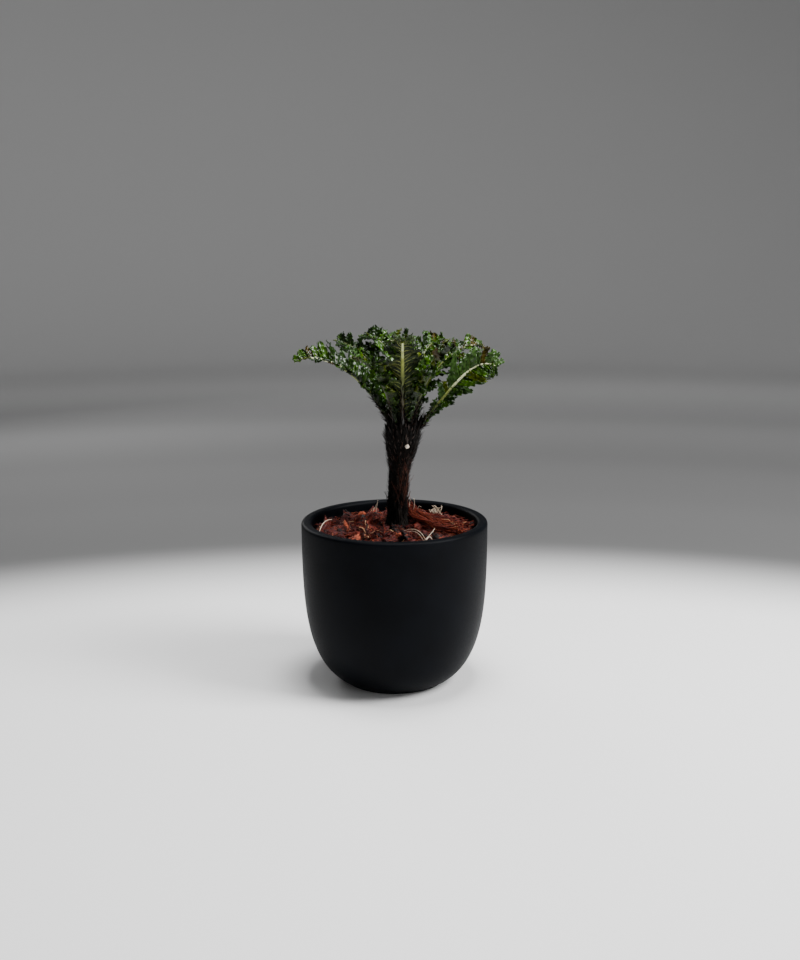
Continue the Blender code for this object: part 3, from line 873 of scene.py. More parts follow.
@dataclass
class Rib:
    """The curve of a rib with the blade's side and upward directions along it."""

    size: FrondSize
    trunk: Trunk
    count: int = 120
    stipe_half_width: float = 1.4 * MM
    stand: float = 0.3 * MM  # clearance of the foot over the crown head
    share: Array = field(init=False)
    points: Array = field(init=False)
    ahead: Array = field(init=False)
    side: Array = field(init=False)
    above: Array = field(init=False)

    def __post_init__(self) -> None:
        """Work out the curve.

        The elevation falls from rise to end_rise as the share of the length to the power
        bend, the heading turns evenly, and the points are the running sum of the steps.
        """
        size = self.size
        share = np.linspace(0.0, 1.0, self.count)
        rise = np.radians(size.rise + (size.end_rise - size.rise) * share**size.bend)
        heading = np.radians(size.heading + size.sweep * share)
        level, climb = np.cos(rise), np.sin(rise)
        ahead = np.stack([level * np.cos(heading), level * np.sin(heading), climb], 1)
        above = np.stack([-climb * np.cos(heading), -climb * np.sin(heading), level], 1)
        steps = (ahead[1:] + ahead[:-1]) / 2 * size.length * MM / (self.count - 1)
        foot = self.trunk.on_head(size.foot * MM, np.radians(size.heading), self.stand)
        foot = foot + UP * (self.stipe_half_width * np.cos(np.radians(size.rise)))
        roll = np.radians(size.roll + (size.end_roll - size.roll) * share)[:, None]
        side = np.cross(ahead, above)
        self.share = share
        self.points = foot + np.vstack([np.zeros(3), np.cumsum(steps, 0)])
        self.ahead = ahead
        self.side = side * np.cos(roll) + above * np.sin(roll)
        self.above = above * np.cos(roll) - side * np.sin(roll)

    def at(self, share: Array) -> tuple[Array, Array, Array, Array]:
        """Read the rib between its points, in a straight line from each to the next.

        Args:
            share: Shares of the rib's length.

        Returns:
            Points, and the ahead, side and upward directions, each of shape (shares, 3).
        """
        point, ahead, side, above = (
            np.stack([np.interp(share, self.share, column) for column in rows.T], -1)
            for rows in (self.points, self.ahead, self.side, self.above)
        )
        return point, unit(ahead), unit(side), unit(above)


@dataclass
class Frond:
    """One frond: a tapering rib with crisped leaflets whose tips curl and fork."""

    size: FrondSize
    trunk: Trunk
    seed: int
    pairs: int = 24
    first: float = 0.10
    last: float = 0.975
    lengthening: float = 0.14  # where the leaflets start to lengthen towards the widest place
    lean: float = np.radians(22)
    rows: int = 18
    columns: int = 8
    skin: float = 0.26 * MM
    vein_rows: int = 12
    end_share: float = 0.945  # where the last leaflet leaves the rib
    end_length: float = 5.5 * MM
    tint_steps: int = 4
    shares: tuple[float, ...] = (0.42, 0.36, 0.12, 0.10)  # of the four greens
    # On such a blade's raised left half most leaflets take the pale blue-green, a painted sheen.
    rolled_sheen_shares: tuple[float, ...] = (0.08, 0.14, 0.74, 0.04)  # where the blade lies on its edge
    edge_roll: float = -60.0
    rib: Rib = field(init=False)
    rng: np.random.Generator = field(init=False)

    def __post_init__(self) -> None:
        """Lay out the rib and start the seeded draws."""
        self.rib = Rib(self.size, self.trunk)
        self.rng = np.random.default_rng(self.seed)

    def reach(self, share: Array) -> Array:
        """Leaflet length as a share of the longest: a rise to the widest place, then a fall.

        It rises from the foot's share as the power 1.25 of the way to the widest place, and
        falls from there by the taper times the power 1.7 of the way to the tip.

        Args:
            share: Shares of the rib's length.

        Returns:
            One share for each.
        """
        size = self.size
        rise = np.clip((share - self.lengthening) / (size.widest - self.lengthening), 0.0, 1.0)
        fall = np.clip((share - size.widest) / (1.0 - size.widest), 0.0, 1.0)
        grown = size.foot_width + (1.0 - size.foot_width) * rise**1.25
        return grown * (1.0 - size.tip_taper * fall**1.7)

    def half_rib(self, share: Array) -> Array:
        """Half width of the rib: a stout stipe that narrows to the first leaflet and to the tip."""
        widths = np.array((1.5, 1.35, 1.05, 0.84, 0.48, 0.20)) * MM * self.size.stout
        return np.interp(share, (0.0, 0.05, 0.16, 0.6, 0.9, 1.0), widths)

    def leaflets(self, hand: int) -> tuple[Array, Array, Array]:
        """All the leaflets on one side as grids.

        A leaflet's middle line leaves the rib at the lean, curves towards the tip of the
        frond, droops a little and then curls. Across it, the edges are cupped and ruffled
        by a sine that grows outwards, and the end is drawn out into two or three lobes.

        Args:
            hand: 1 for the right side and -1 for the left.

        Returns:
            Points (leaflets, rows, columns, 3), vein lines under them and shares of the rib.
        """
        rng, size = self.rng, self.size
        share = np.linspace(self.first, self.last, self.pairs)
        pitch = size.length * MM * (share[1] - share[0])
        share = share + rng.normal(scale=0.08, size=self.pairs) * (share[1] - share[0])
        point, ahead, side, above = (row[:, None, :] for row in self.rib.at(share))
        fold = np.radians(size.fold + rng.normal(scale=5, size=(self.pairs, 1, 1)))
        out = side * hand * np.cos(fold) + above * np.sin(fold)
        flat_normal = unit(np.cross(out, ahead)) * hand
        along = np.linspace(0.0, 1.0, self.rows)[None, :, None]
        across = np.linspace(-1.0, 1.0, self.columns)[None, None, :, None]
        lean = self.lean + rng.normal(scale=0.07, size=(self.pairs, 1, 1)) + 0.42 * along
        forward = out * np.cos(lean) + ahead * np.sin(lean)
        sideways = (ahead * np.cos(lean) - out * np.sin(lean)) * hand
        droop = rng.uniform(0.10, 0.60, (self.pairs, 1, 1))
        curl = rng.normal(-0.2, 1.2, (self.pairs, 1, 1))
        wag = rng.normal(0.0, 0.35, (self.pairs, 1, 1))
        curled = np.clip((along - 0.6) / 0.4, 0.0, 1.0) ** 1.4
        bend = -droop * along + wag * np.sin(np.pi * along) + curl * curled
        tangent = forward * np.cos(bend) + flat_normal * np.sin(bend)
        normal = flat_normal * np.cos(bend) - forward * np.sin(bend)
        twist = rng.normal(0.12, 0.12, (self.pairs, 1, 1)) * hand
        twist = twist + rng.normal(0.0, 0.26, (self.pairs, 1, 1)) * along
        sideways, normal = (
            sideways * np.cos(twist) + normal * np.sin(twist),
            normal * np.cos(twist) - sideways * np.sin(twist),
        )
        spread = rng.normal(1.0, 0.07, (self.pairs, 1, 1)) * (size.left if hand < 0 else 1.0)
        length = size.half_width * MM * self.reach(share)[:, None, None] * spread * 1.08
        root = point + out * self.half_rib(share)[:, None, None] * 0.75 - above * 0.1 * MM
        middle = root + np.cumsum(tangent, axis=1) * length / (self.rows - 1)
        middle = middle - tangent[:, :1] * length / (self.rows - 1)
        phase = rng.uniform(0, TURN, (self.pairs, 1, 1))
        short = np.minimum(1.0, length / (5 * MM))
        lobes = 1.0 + 0.16 * np.sin(TURN * 3.6 * along + phase) * along
        crest = np.interp(along, (0.0, 0.12, 0.45, 0.74, 0.88, 1.0), (1.12, 0.98, 0.94, 0.72, 0.80, 0.34))
        half = 0.80 * pitch * crest * lobes * (0.55 + 0.45 * short)
        wide = half[..., None] * across
        ruffle_phase = phase[..., None] + 1.4 * across
        ruffle = np.sin(TURN * 3.3 * along[..., None] + ruffle_phase) * np.abs(across) ** 1.4
        ruffle = ruffle * half[..., None] * (0.12 + 0.40 * along[..., None])
        cup = half[..., None] * across**2 * rng.uniform(-0.10, 0.34, (self.pairs, 1, 1, 1))
        fork = np.cos(TURN * 0.75 * across + 0.3 * phase[..., None]) * ramp(along, 0.70, 1.0)[..., None]
        fork = fork * -0.10 * length[..., None] * rng.uniform(0.3, 1.2, (self.pairs, 1, 1, 1))
        grid = middle[:, :, None, :] + sideways[:, :, None, :] * wide
        grid = grid + normal[:, :, None, :] * (ruffle + cup) + tangent[:, :, None, :] * fork
        return grid, middle - normal * 0.13 * MM, share

    def end_leaflet(self) -> Array:
        """The last leaflet, which carries on the rib and ends in a ruffled point.

        Its middle line bends down as the square of the share of its length, and a sine of
        that share ruffles its edges.

        Returns:
            Points (1, rows, columns, 3).
        """
        found = self.rib.at(np.array([self.end_share]))
        point, ahead, side, above = (row[:, None, :] for row in found)
        along = np.linspace(0.0, 1.0, self.rows)[None, :, None]
        across = np.linspace(-1.0, 1.0, self.columns)[None, None, :, None]
        bend = -0.9 * along**2
        tangent = ahead * np.cos(bend) + above * np.sin(bend)
        normal = above * np.cos(bend) - ahead * np.sin(bend)
        middle = point + np.cumsum(tangent, axis=1) * self.end_length / self.rows
        half = np.interp(along, (0.0, 0.25, 0.6, 1.0), (0.8, 2.0, 1.3, 0.2))[..., None] * MM
        ruffle = 0.3 * half * np.sin(TURN * 2.2 * along[..., None]) * np.abs(across)
        flat = middle[:, :, None, :] - side[:, :, None, :] * half * across
        return flat + normal[:, :, None, :] * ruffle

    def tints(self, share: Array, hand: int) -> Array:
        """Deal a colour to each leaflet, by chance and by how near the tip it is, with painted shade near
        the foot and painted sheen on one half of a blade that lies on its edge.

        Args:
            share: Shares of the rib's length where the leaflets stand.
            hand: 1 for the right side and -1 for the left.

        Returns:
            The finish number of each leaflet.
        """
        greens = list(LeafTint)
        # The raised left half of a blade that lies on its edge mostly takes the pale blue-green: painted
        # sheen.
        rolled = self.size.end_roll < self.edge_roll and hand < 0
        chance = self.rolled_sheen_shares if rolled else self.shares
        dealt = self.rng.choice(len(chance), size=len(share), p=chance)
        # Most leaflets near the foot take the darkest green: painted shade deep in the crown.
        shaded = self.rng.random(len(share)) > ramp(share, 0.05, 0.45)
        dealt = np.where(shaded, greens.index(LeafTint.DEEP), dealt)
        turning = self.rng.random(len(share)) < self.size.turning * ramp(share, 0.45, 0.95)
        return np.where(turning, greens.index(LeafTint.BROWN), dealt)

    def blade(self) -> tuple[Batch, Array]:
        """Gather the leaflets of both sides and the last one.

        Returns:
            The leaflets, and the lines of their veins.
        """
        batch = Batch()
        middles = []
        for hand in (1, -1):
            grid, middle, share = self.leaflets(hand)
            batch.add(grid, self.tints(share, hand))
            middles.append(middle)
        batch.add(self.end_leaflet(), list(LeafTint).index(LeafTint.OLIVE))
        return batch, np.concatenate(middles)

    def stem(self, middles: Array) -> Batch:
        """The rib, an oval that tapers to the tip, and a fine vein along each leaflet.

        Args:
            middles: The lines of the veins, of shape (leaflets, rows, 3).

        Returns:
            The rib and the veins.
        """
        share = np.concatenate([np.linspace(0.0, 0.2, 24), np.linspace(0.2, 0.985, 70)[1:]])
        point, _, side, above = (row[None] for row in self.rib.at(share))
        half = self.half_rib(share)[None]
        rings = sweep(point, side, above, half, half * 0.92, 12)
        stage = np.interp(share[1:], self.size.rib, np.arange(len(self.size.rib)))
        tints = np.round(stage * self.tint_steps).astype(int)[None]
        batch = Batch()
        batch.add(rings, tints, closed=True, capped=True)
        line = middles[:, :self.vein_rows]
        thick = np.linspace(0.28, 0.12, self.vein_rows)[None] * MM * np.ones((len(line), 1))
        vein = round(self.size.vein * self.tint_steps)
        batch.add(tubes(line, thick, 5), vein, closed=True)
        return batch

    def build(
        self, greens: Sequence[bpy.types.Material], ribs: Sequence[bpy.types.Material]
    ) -> None:
        """Build and dress the frond's two pieces.

        Args:
            greens: Materials of the leaflets' upper sides, then those of their undersides.
            ribs: Materials of the rib from its foot outwards.
        """
        batch, middles = self.blade()
        blade = batch.piece(f"{self.size.name}_leaflets", greens)
        skin = blade.modifiers.new("thickness", "SOLIDIFY")
        skin.thickness = self.skin
        skin.offset = -1.0
        # The undersides take the underside finishes, darker partly as painted shade.
        skin.material_offset = len(LeafTint)
        declare(blade, "frond_green", self.size.name)
        stem = self.stem(middles).piece(f"{self.size.name}_rib", ribs)
        declare(stem, "rib_cream", self.size.name)


@dataclass
class Crown:
    """The fronds, and the dark scales and old stipes that pack the space between them."""

    trunk: Trunk
    scales_on_stipe: int = 130
    scales_on_trunk: int = 900
    scales_on_head: int = 500
    stump_count: int = 30
    seed: int = 20

    def stipe_scales(self, ribs: Sequence[Rib]) -> Batch:
        """Narrow pointed scales on the lower stipes and over the crown head.

        A scale's middle line is bowed outwards and upwards; its half width is a sine of
        the share of its length, and its middle is raised along a fold.

        Args:
            ribs: The ribs whose lower stipes carry scales.

        Returns:
            The scales, a fifth of them in the second finish.
        """
        rng = np.random.default_rng(self.seed)
        roots, aheads, outs = [], [], []
        for rib in ribs:
            count = self.scales_on_stipe
            share = rib.size.rib[1] * 1.7 * rng.beta(1.0, 1.5, count)
            point, ahead, side, above = rib.at(share)
            angle = rng.uniform(0, TURN, (count, 1))
            outward = side * np.cos(angle) + above * np.sin(angle)
            roots.append(point + outward * 1.1 * MM)
            aheads.append(ahead)
            outs.append(outward)
        count = self.scales_on_trunk
        heading = rng.uniform(0, TURN, count)
        level = rng.uniform(139, 160, count) * MM
        root, outward = self.trunk.on_bark(heading, level)
        roots.append(root)
        outs.append(outward)
        aheads.append(np.broadcast_to(UP, root.shape))
        count = self.scales_on_head
        heading = rng.uniform(0, TURN, count)
        reach = self.trunk.head_radius * np.sqrt(rng.uniform(0, 0.96, count))
        outward = np.stack([np.cos(heading), np.sin(heading), np.full(count, 0.8)], -1)
        roots.append(self.trunk.on_head(reach, heading, -0.3 * MM))
        outs.append(unit(outward))
        aheads.append(np.broadcast_to(UP, (count, 3)))
        root, ahead, outward = np.concatenate(roots), np.concatenate(aheads), np.concatenate(outs)
        count = len(root)
        lean = rng.uniform(0.05, 0.45, (count, 1))
        forward = unit(ahead + outward * lean + rng.normal(scale=0.18, size=(count, 3)))
        bow = outward * rng.uniform(-0.05, 0.35, (count, 1))
        path = bowed(root, forward, rng.uniform(2.4, 6.2, count) * MM, bow, 6)
        across = unit(np.cross(forward, outward))[:, None, None, :]
        columns = np.array([-1.0, 0.0, 1.0])[None, None, :, None]
        share = np.linspace(0.0, 1.0, 6)
        half = (np.sin(np.pi * (0.12 + 0.86 * share)) * 0.42 * MM)[None, :, None, None]
        half = half * rng.uniform(0.5, 1.2, (count, 1, 1, 1))
        grid = path[:, :, None, :] + across * columns * half
        grid = grid + outward[:, None, None, :] * (1.0 - np.abs(columns)) * half * 0.4
        batch = Batch()
        batch.add(grid, (rng.random(count) < 0.2).astype(int))
        return batch

    def old_stipes(self) -> Batch:
        """Stumps of older stipes that stand round the head between the fronds.

        Each is a round profile that tapers to a point along a bowed path, on a golden
        spiral, pushed in and out by seeded waves.

        Returns:
            The stumps.
        """
        rng = np.random.default_rng(self.seed + 1)
        count = self.stump_count
        heading = np.arange(count) * GOLDEN_ANGLE
        reach = self.trunk.head_radius * np.linspace(0.55, 0.93, count)
        root = self.trunk.on_head(reach, heading, -1.5 * MM)
        outward = np.stack([np.cos(heading), np.sin(heading), np.zeros(count)], -1)
        ahead = unit(outward * rng.uniform(0.05, 0.25, (count, 1)) + UP)
        path = bowed(root, ahead, rng.uniform(5, 13, count) * MM, outward * 0.12, 12)
        thick = np.interp(np.linspace(0, 1, 12), (0.0, 0.7, 1.0), (1.4, 0.9, 0.15))[None] * MM
        thick = thick * rng.uniform(0.6, 1.1, (count, 1))
        rings = tubes(path, thick, 10)
        centre = path[:, :, None, :]
        rings = centre + (rings - centre) * (1.0 + 0.18 * waves(rings, 1.8 * MM, rng)[..., None])
        batch = Batch()
        batch.add(rings, closed=True, capped=True)
        return batch

    def build(self) -> None:
        """Build the fronds and what packs the crown."""
        greens = [tint.upper().material() for tint in LeafTint]
        greens += [tint.underside().material() for tint in LeafTint]
        ribs = [finish.material() for finish in RibTint.finishes(Frond.tint_steps)]
        fronds = [Frond(size, self.trunk, 100 + index) for index, size in enumerate(FRONDS)]
        for frond in fronds:
            frond.build(greens, ribs)
        tints = [SCALE_DARK.material(), SCALE_BROWN.material()]
        scales = self.stipe_scales([frond.rib for frond in fronds])
        declare(scales.piece("crown_scales", tints), "bark")
        declare(self.old_stipes().piece("crown_old_stipes", [BARK.material()]), "bark")


# ------------------------------------------------------------------ husk mix


@dataclass
class Husk:
    """The husk mix: a rough bed, torn lumps, loose fibres and pale rootlets."""

    pot: Pot
    trunk: Trunk
    level: float = 101.5 * MM
    edge_level: float = 97 * MM
    seat: float = 10 * MM
    gap: float = 0.3 * MM
    lump_count: int = 170
    fibres_per_lump: int = 44
    loose_count: int = 800
    tuft_count: int = 16
    highest: float = 104 * MM  # level above which the pot's bore counts as straight
    seed: int = 40

    def surface(self, reach: Array) -> Array:
        """Level of the bed at a distance from the pot's axis, falling evenly to the wall."""
        share = np.clip((reach - self.seat) / (self.pot.radius - self.seat), 0.0, 1.0)
        return self.level - (self.level - self.edge_level) * share

    def bed(self) -> Batch:
        """The bed as a closed turned body whose top is broken into hollows and lumps.

        The top is raised and lowered by seeded waves of two pitches, which fade out towards
        the pot's wall and leave the body's side and underside alone.

        Returns:
            The closed body.
        """
        rng = np.random.default_rng(self.seed)
        edge = self.pot.bore(np.array(self.edge_level)) - self.gap
        top_radius = np.linspace(0.01 * MM, edge, 60)
        floor = self.pot.floor + self.gap
        down = floor + (self.edge_level - 1.5 * MM - floor) * (1.0 - np.linspace(0.0, 1.0, 16)) ** 1.6
        radius = np.concatenate([top_radius, self.pot.bore(down) - 2 * self.gap, [0.01 * MM]])
        height = np.concatenate([self.surface(top_radius) - 3.2 * MM, down, [floor]])
        grid = spun(radius, height, 180)
        relief = 1.5 * waves(grid, 9 * MM, rng, 9) + 0.7 * waves(grid, 3.2 * MM, rng, 9)
        fade = ramp(radius, edge, edge - 3 * MM)[None, :, None]
        on_top = (height > 0.9 * height[0])[None, :, None]
        grid[..., 2] += relief * MM * fade * on_top
        # Every face takes the first finish, the near-black husk, which is painted shade in the hollows
        # between the lumps.
        batch = Batch()
        batch.add(grid, closed=True, capped=True)
        return batch

    def lump_frames(self, rng: np.random.Generator) -> tuple[Array, Array, Array]:
        """Centres, axes and half sizes of the torn lumps, spread on a golden spiral.

        Args:
            rng: Source of the draws, which the lumps' surfaces go on with.

        Returns:
            Centres (lumps, 3), axes (lumps, 3 axes, 3) and half sizes (lumps, 3).
        """
        index = np.arange(self.lump_count)
        spread = self.pot.radius - self.pot.wall - 11.5 * MM
        reach = 7.5 * MM + spread * np.sqrt((index + 0.5) / self.lump_count)
        heading = index * GOLDEN_ANGLE + rng.normal(scale=0.08, size=self.lump_count)
        centre = np.stack([
            reach * np.cos(heading), reach * np.sin(heading), np.zeros(self.lump_count),
        ], -1)
        centre[:, 0] += self.trunk.stations[0][1] * MM * (1.0 - reach / self.pot.radius)
        centre[:, 1] += self.trunk.depth * (1.0 - reach / self.pot.radius)
        yaw = rng.uniform(0, TURN, self.lump_count)
        tilt = rng.normal(scale=0.38, size=self.lump_count)
        size = np.stack([
            rng.uniform(3.0, 6.2, self.lump_count), rng.uniform(2.0, 3.8, self.lump_count),
            rng.uniform(1.4, 2.7, self.lump_count),
        ], -1) * MM
        centre[:, 2] = self.surface(reach) + rng.uniform(-2.0, 1.5, self.lump_count) * MM
        long = np.stack([np.cos(yaw) * np.cos(tilt), np.sin(yaw) * np.cos(tilt), np.sin(tilt)], -1)
        across = unit(np.cross(UP, long))
        across = turned(across, long, rng.normal(scale=0.45, size=self.lump_count))
        up = np.cross(long, across)
        return centre, np.stack([long, across, up], axis=1), size

    def keep_in(self, places: Array) -> Array:
        """Move points that would pass the pot's wall back inside it.

        Args:
            places: Points, with x, y, z on the last axis.

        Returns:
            The points, each no further from the pot's axis than the bore at its level.
        """
        reach = np.linalg.norm(places[..., :2], axis=-1)
        limit = self.pot.bore(np.clip(places[..., 2], self.pot.floor, self.highest)) - self.gap
        kept = places.copy()
        kept[..., :2] *= np.minimum(1.0, limit / np.maximum(reach, 1e-9))[..., None]
        return kept

    def lumps(self) -> tuple[Batch, list[Batch]]:
        """Torn lumps of husk and the fibres that run along them.

        A lump is an ellipsoid with squared ends, pushed in and out by seeded waves. A
        fibre runs along the lump's length close over its surface and past its ends.

        Returns:
            The lumps, and their fibres in two halves.
        """
        rng = np.random.default_rng(self.seed + 1)
        centre, axes, size = self.lump_frames(rng)
        polar = np.linspace(0.04, np.pi - 0.04, 19)[:, None]
        about = np.linspace(0.0, TURN, 28, endpoint=False)[None, :]
        shape = np.stack([
            np.sign(np.cos(polar)) * np.abs(np.cos(polar)) ** 0.7 + 0 * about,
            np.sin(polar) ** 0.7 * np.cos(about), np.sin(polar) ** 0.7 * np.sin(about),
        ], -1)
        local = shape[None] * size[:, None, None, :]
        grid = np.einsum("krci,kij->krcj", local, axes) + centre[:, None, None, :]
        push = 1.0 + 0.24 * waves(grid, 3.4 * MM, rng, 8) + 0.14 * waves(grid, 1.1 * MM, rng, 9)
        ridge = np.sin(9.0 * about + 5.0 * waves(grid, 5 * MM, rng)) * np.sin(polar)
        push = push + 0.10 * ridge
        grid = centre[:, None, None, :] + (grid - centre[:, None, None, :]) * push[..., None]
        body = Batch()
        tints = rng.choice(4, self.lump_count, p=[0.28, 0.40, 0.26, 0.06])
        body.add(self.keep_in(grid)[:, ::-1], tints, closed=True, capped=True)

        many = self.fibres_per_lump
        owner = np.repeat(np.arange(self.lump_count), many)
        count = len(owner)
        around = rng.uniform(-0.2, np.pi + 0.2, count)[:, None]
        start = rng.uniform(-1.35, 0.1, count)[:, None]
        stop = start + rng.uniform(0.9, 2.3, count)[:, None]
        share = start + (stop - start) * np.linspace(0.0, 1.0, 7)[None, :]
        inside = 1.0 - np.clip(np.abs(share), 0, 0.98) ** 2.4
        close = np.sqrt(np.clip(inside, 0.05, 1.0)) * 1.07
        drift = around + rng.normal(scale=0.35, size=(count, 1)) * share
        lift = 0.35 * np.abs(rng.normal(size=(count, 1))) * np.clip(np.abs(share) - 0.8, 0, 1)
        local = np.stack([share, close * np.cos(drift), close * np.sin(drift) + lift], -1)
        local = local * size[owner][:, None, :]
        path = np.einsum("kri,kij->krj", local, axes[owner]) + centre[owner][:, None, :]
        path = self.keep_in(path + 0.4 * MM * waves(path, 3.4 * MM, rng)[..., None])
        taper = np.array([0.07, 0.15, 0.19, 0.20, 0.19, 0.15, 0.05])[None]
        thick = taper * MM * rng.uniform(0.5, 1.5, (count, 1))
        lines = tubes(path, thick, 3)
        shades = rng.choice(5, count, p=[0.32, 0.34, 0.24, 0.09, 0.01])
        halves = []
        for part in np.array_split(np.arange(count), 2):
            fibres = Batch()
            fibres.add(lines[part], shades[part], closed=True)
            halves.append(fibres)
        return body, halves

    def loose(self) -> Batch:
        """Loose fibres that lie over the lumps in shallow arcs, a few of them standing up.

        Each is a four-sided tube that thins along a bowed path.

        Returns:
            The fibres.
        """
        rng = np.random.default_rng(self.seed + 2)
        count = self.loose_count
        reach = (self.pot.radius - self.pot.wall - 3 * MM) * np.sqrt(rng.uniform(0.03, 1.0, count))
        heading = rng.uniform(0, TURN, count)
        start = np.stack([reach * np.cos(heading), reach * np.sin(heading), self.surface(reach)], -1)
        start[:, 2] += rng.uniform(0.8, 3.2, count) * MM
        yaw = rng.uniform(0, TURN, count)
        rise = np.abs(rng.normal(scale=0.35, size=count))
        ahead = np.stack([np.cos(yaw) * np.cos(rise), np.sin(yaw) * np.cos(rise), np.sin(rise)], -1)
        bow = np.stack([-np.sin(yaw), np.cos(yaw), np.zeros(count)], -1)
        bow = bow * rng.normal(scale=0.7, size=(count, 1))
        bow[:, 2] -= rise * rng.uniform(0.9, 1.6, count)
        path = self.keep_in(bowed(start, ahead, rng.uniform(2.5, 9, count) * MM, bow, 9))
        thick = np.linspace(0.14, 0.05, 9)[None] * MM * rng.uniform(0.7, 1.5, (count, 1))
        tints = rng.choice(5, count, p=[0.20, 0.40, 0.27, 0.11, 0.02])
        batch = Batch()
        batch.add(tubes(path, thick, 4), tints, closed=True)
        return batch

    @staticmethod
    def strand(
        start: Array, end: Array, sag: float, thick: float, count: int, seed: int
    ) -> tuple[Array, Array]:
        """A torn strand: many fibres side by side along one bowed line, spread at its ends.

        The line sags by four times the sag times t times (1 - t), and each fibre's distance
        from it grows as the cube of the distance from the line's middle.

        Args:
            start: Where the strand begins.
            end: Where it ends.
            sag: How far its middle lies below the straight line.
            thick: Radius of the strand.
            count: Number of fibres.
            seed: Seed of the spread.

        Returns:
            Tube grids and their finish numbers.
        """
        rng = np.random.default_rng(seed)
        share = np.linspace(0.0, 1.0, 14)[None, :, None]
        line = start + (end - start) * share
        line = line - UP * sag * 4.0 * share * (1.0 - share)
        spread = rng.normal(size=(count, 1, 3)) * np.array([0.62, 0.62, 0.42])
        flare = 1.0 + 1.3 * np.abs(2.0 * share - 1.0) ** 3
        path = line + spread * thick * flare
        path = path + 0.8 * MM * waves(path, 7 * MM, rng)[..., None]
        path = path + rng.uniform(-3, 3, (count, 1, 1)) * MM * unit(end - start)
        radius = np.full((1, 14), 0.19) * MM * rng.uniform(0.5, 1.6, (count, 1))
        return tubes(path, radius, 4), rng.choice(5, count, p=[0.14, 0.28, 0.34, 0.21, 0.03])

    def strands(self) -> Batch:
        """The long strands, the largest from the trunk's foot to the right of the front.

        Returns:
            The strands' fibres.
        """
        runs = (
            ((7, 9, 111), (40, -22, 103.5), 2.0, 2.2, 190),
            ((12, 14, 106), (45, -2, 102.5), 0.6, 1.6, 100),
            ((-20, -12, 104.5), (-14, -30, 102), 0.2, 1.6, 60),
            ((20, -44, 101.5), (32, -36, 102.5), 0.2, 1.2, 50),
        )
        batch = Batch()
        for number, (start, end, sag, thick, count) in enumerate(runs):
            ends = np.array([start, end]) * MM
            seed = self.seed + 10 + number
            grids, tints = self.strand(*ends, sag * MM, thick * MM, count, seed)
            batch.add(self.keep_in(grids), tints, closed=True)
        return batch

    def rootlets(self) -> Batch:
        """Pale rootlets, each a thin tube on a cubic curve given by four handles.

        A curve's point is the handles' sum weighted by the powers of t and 1 - t. The
        handles are in millimetres; the last curves are a seeded tuft.

        Returns:
            The rootlets.
        """
        handles = np.array([
            ((-48, -9, 100), (-47, -4, 104.5), (-44, 0, 106.5), (-40.5, 2, 105.5)),
            ((5, -24, 104), (12, -26, 108), (17, -33, 107.5), (19.5, -40, 102)),
            ((6, -25, 103.5), (12, -28, 106.5), (15, -34, 107), (18, -41, 102.5)),
            ((25, -28, 107), (24, -33, 106), (21, -37, 104.5), (17, -41, 101.5)),
            ((19, -42, 102), (21, -40, 106.5), (23, -38, 105), (23.5, -41, 101.5)),
            ((-12.5, 28, 104), (-12, 27.5, 107.5), (-11.8, 27, 110.5), (-11.2, 26.5, 112.5)),
            ((-14.5, 27, 105), (-13.5, 27.5, 107), (-12.8, 27.5, 108), (-12.4, 27, 109.5)),
            ((11, 7, 104), (11.5, 6, 110), (14, 5, 113), (12.5, 4, 119)),
            ((14, 12, 105), (16, 10, 111), (15, 9, 114), (17.5, 9, 112)),
            ((9, 6, 110), (10, 5, 114), (9.5, 4, 117), (10.5, 3, 118.5)),
        ], dtype=float) * MM
        rng = np.random.default_rng(self.seed + 3)
        count = self.tuft_count
        base = np.array([27.5, 20.0, 105.5]) + rng.normal(scale=(2.0, 2.0, 0.5), size=(count, 3))
        drift = rng.normal(scale=(1.3, 1.3, 0.6), size=(count, 3, 3)).cumsum(axis=1)
        drift[:, :, 2] += np.array([2.2, 3.6, 3.4])
        tuft = np.concatenate([base[:, None], base[:, None] + drift], axis=1) * MM
        handles = np.concatenate([handles, tuft])
        t = np.linspace(0.0, 1.0, 18)
        weights = np.stack([(1 - t) ** 3, 3 * t * (1 - t) ** 2, 3 * t**2 * (1 - t), t**3])
        path = np.einsum("hr,khj->krj", weights, handles)
        thick = (0.27 - 0.13 * t)[None] * MM * rng.uniform(0.7, 1.15, (len(handles), 1))
        batch = Batch()
        batch.add(tubes(path, thick, 6), closed=True, capped=True)
        return batch

    def build(self) -> None:
        """Build and dress the mix."""
        tints = [tint.finish().material() for tint in HuskTint]
        lumps, halves = self.lumps()
        declare(self.bed().piece("husk_bed", tints), "husk_mix", "coir_mix")
        declare(lumps.piece("husk_lumps", tints), "husk_mix")
        for number, fibres in enumerate(halves, 1):
            declare(fibres.piece(f"husk_lump_fibres_{number}", tints), "husk_mix")
        declare(self.loose().piece("husk_loose_fibres", tints), "husk_mix")
        declare(self.strands().piece("husk_strands", tints), "husk_mix")
        declare(self.rootlets().piece("rootlets", [ROOTLET.material()]), "rootlet_cream")


# ------------------------------------------------------------------ studio


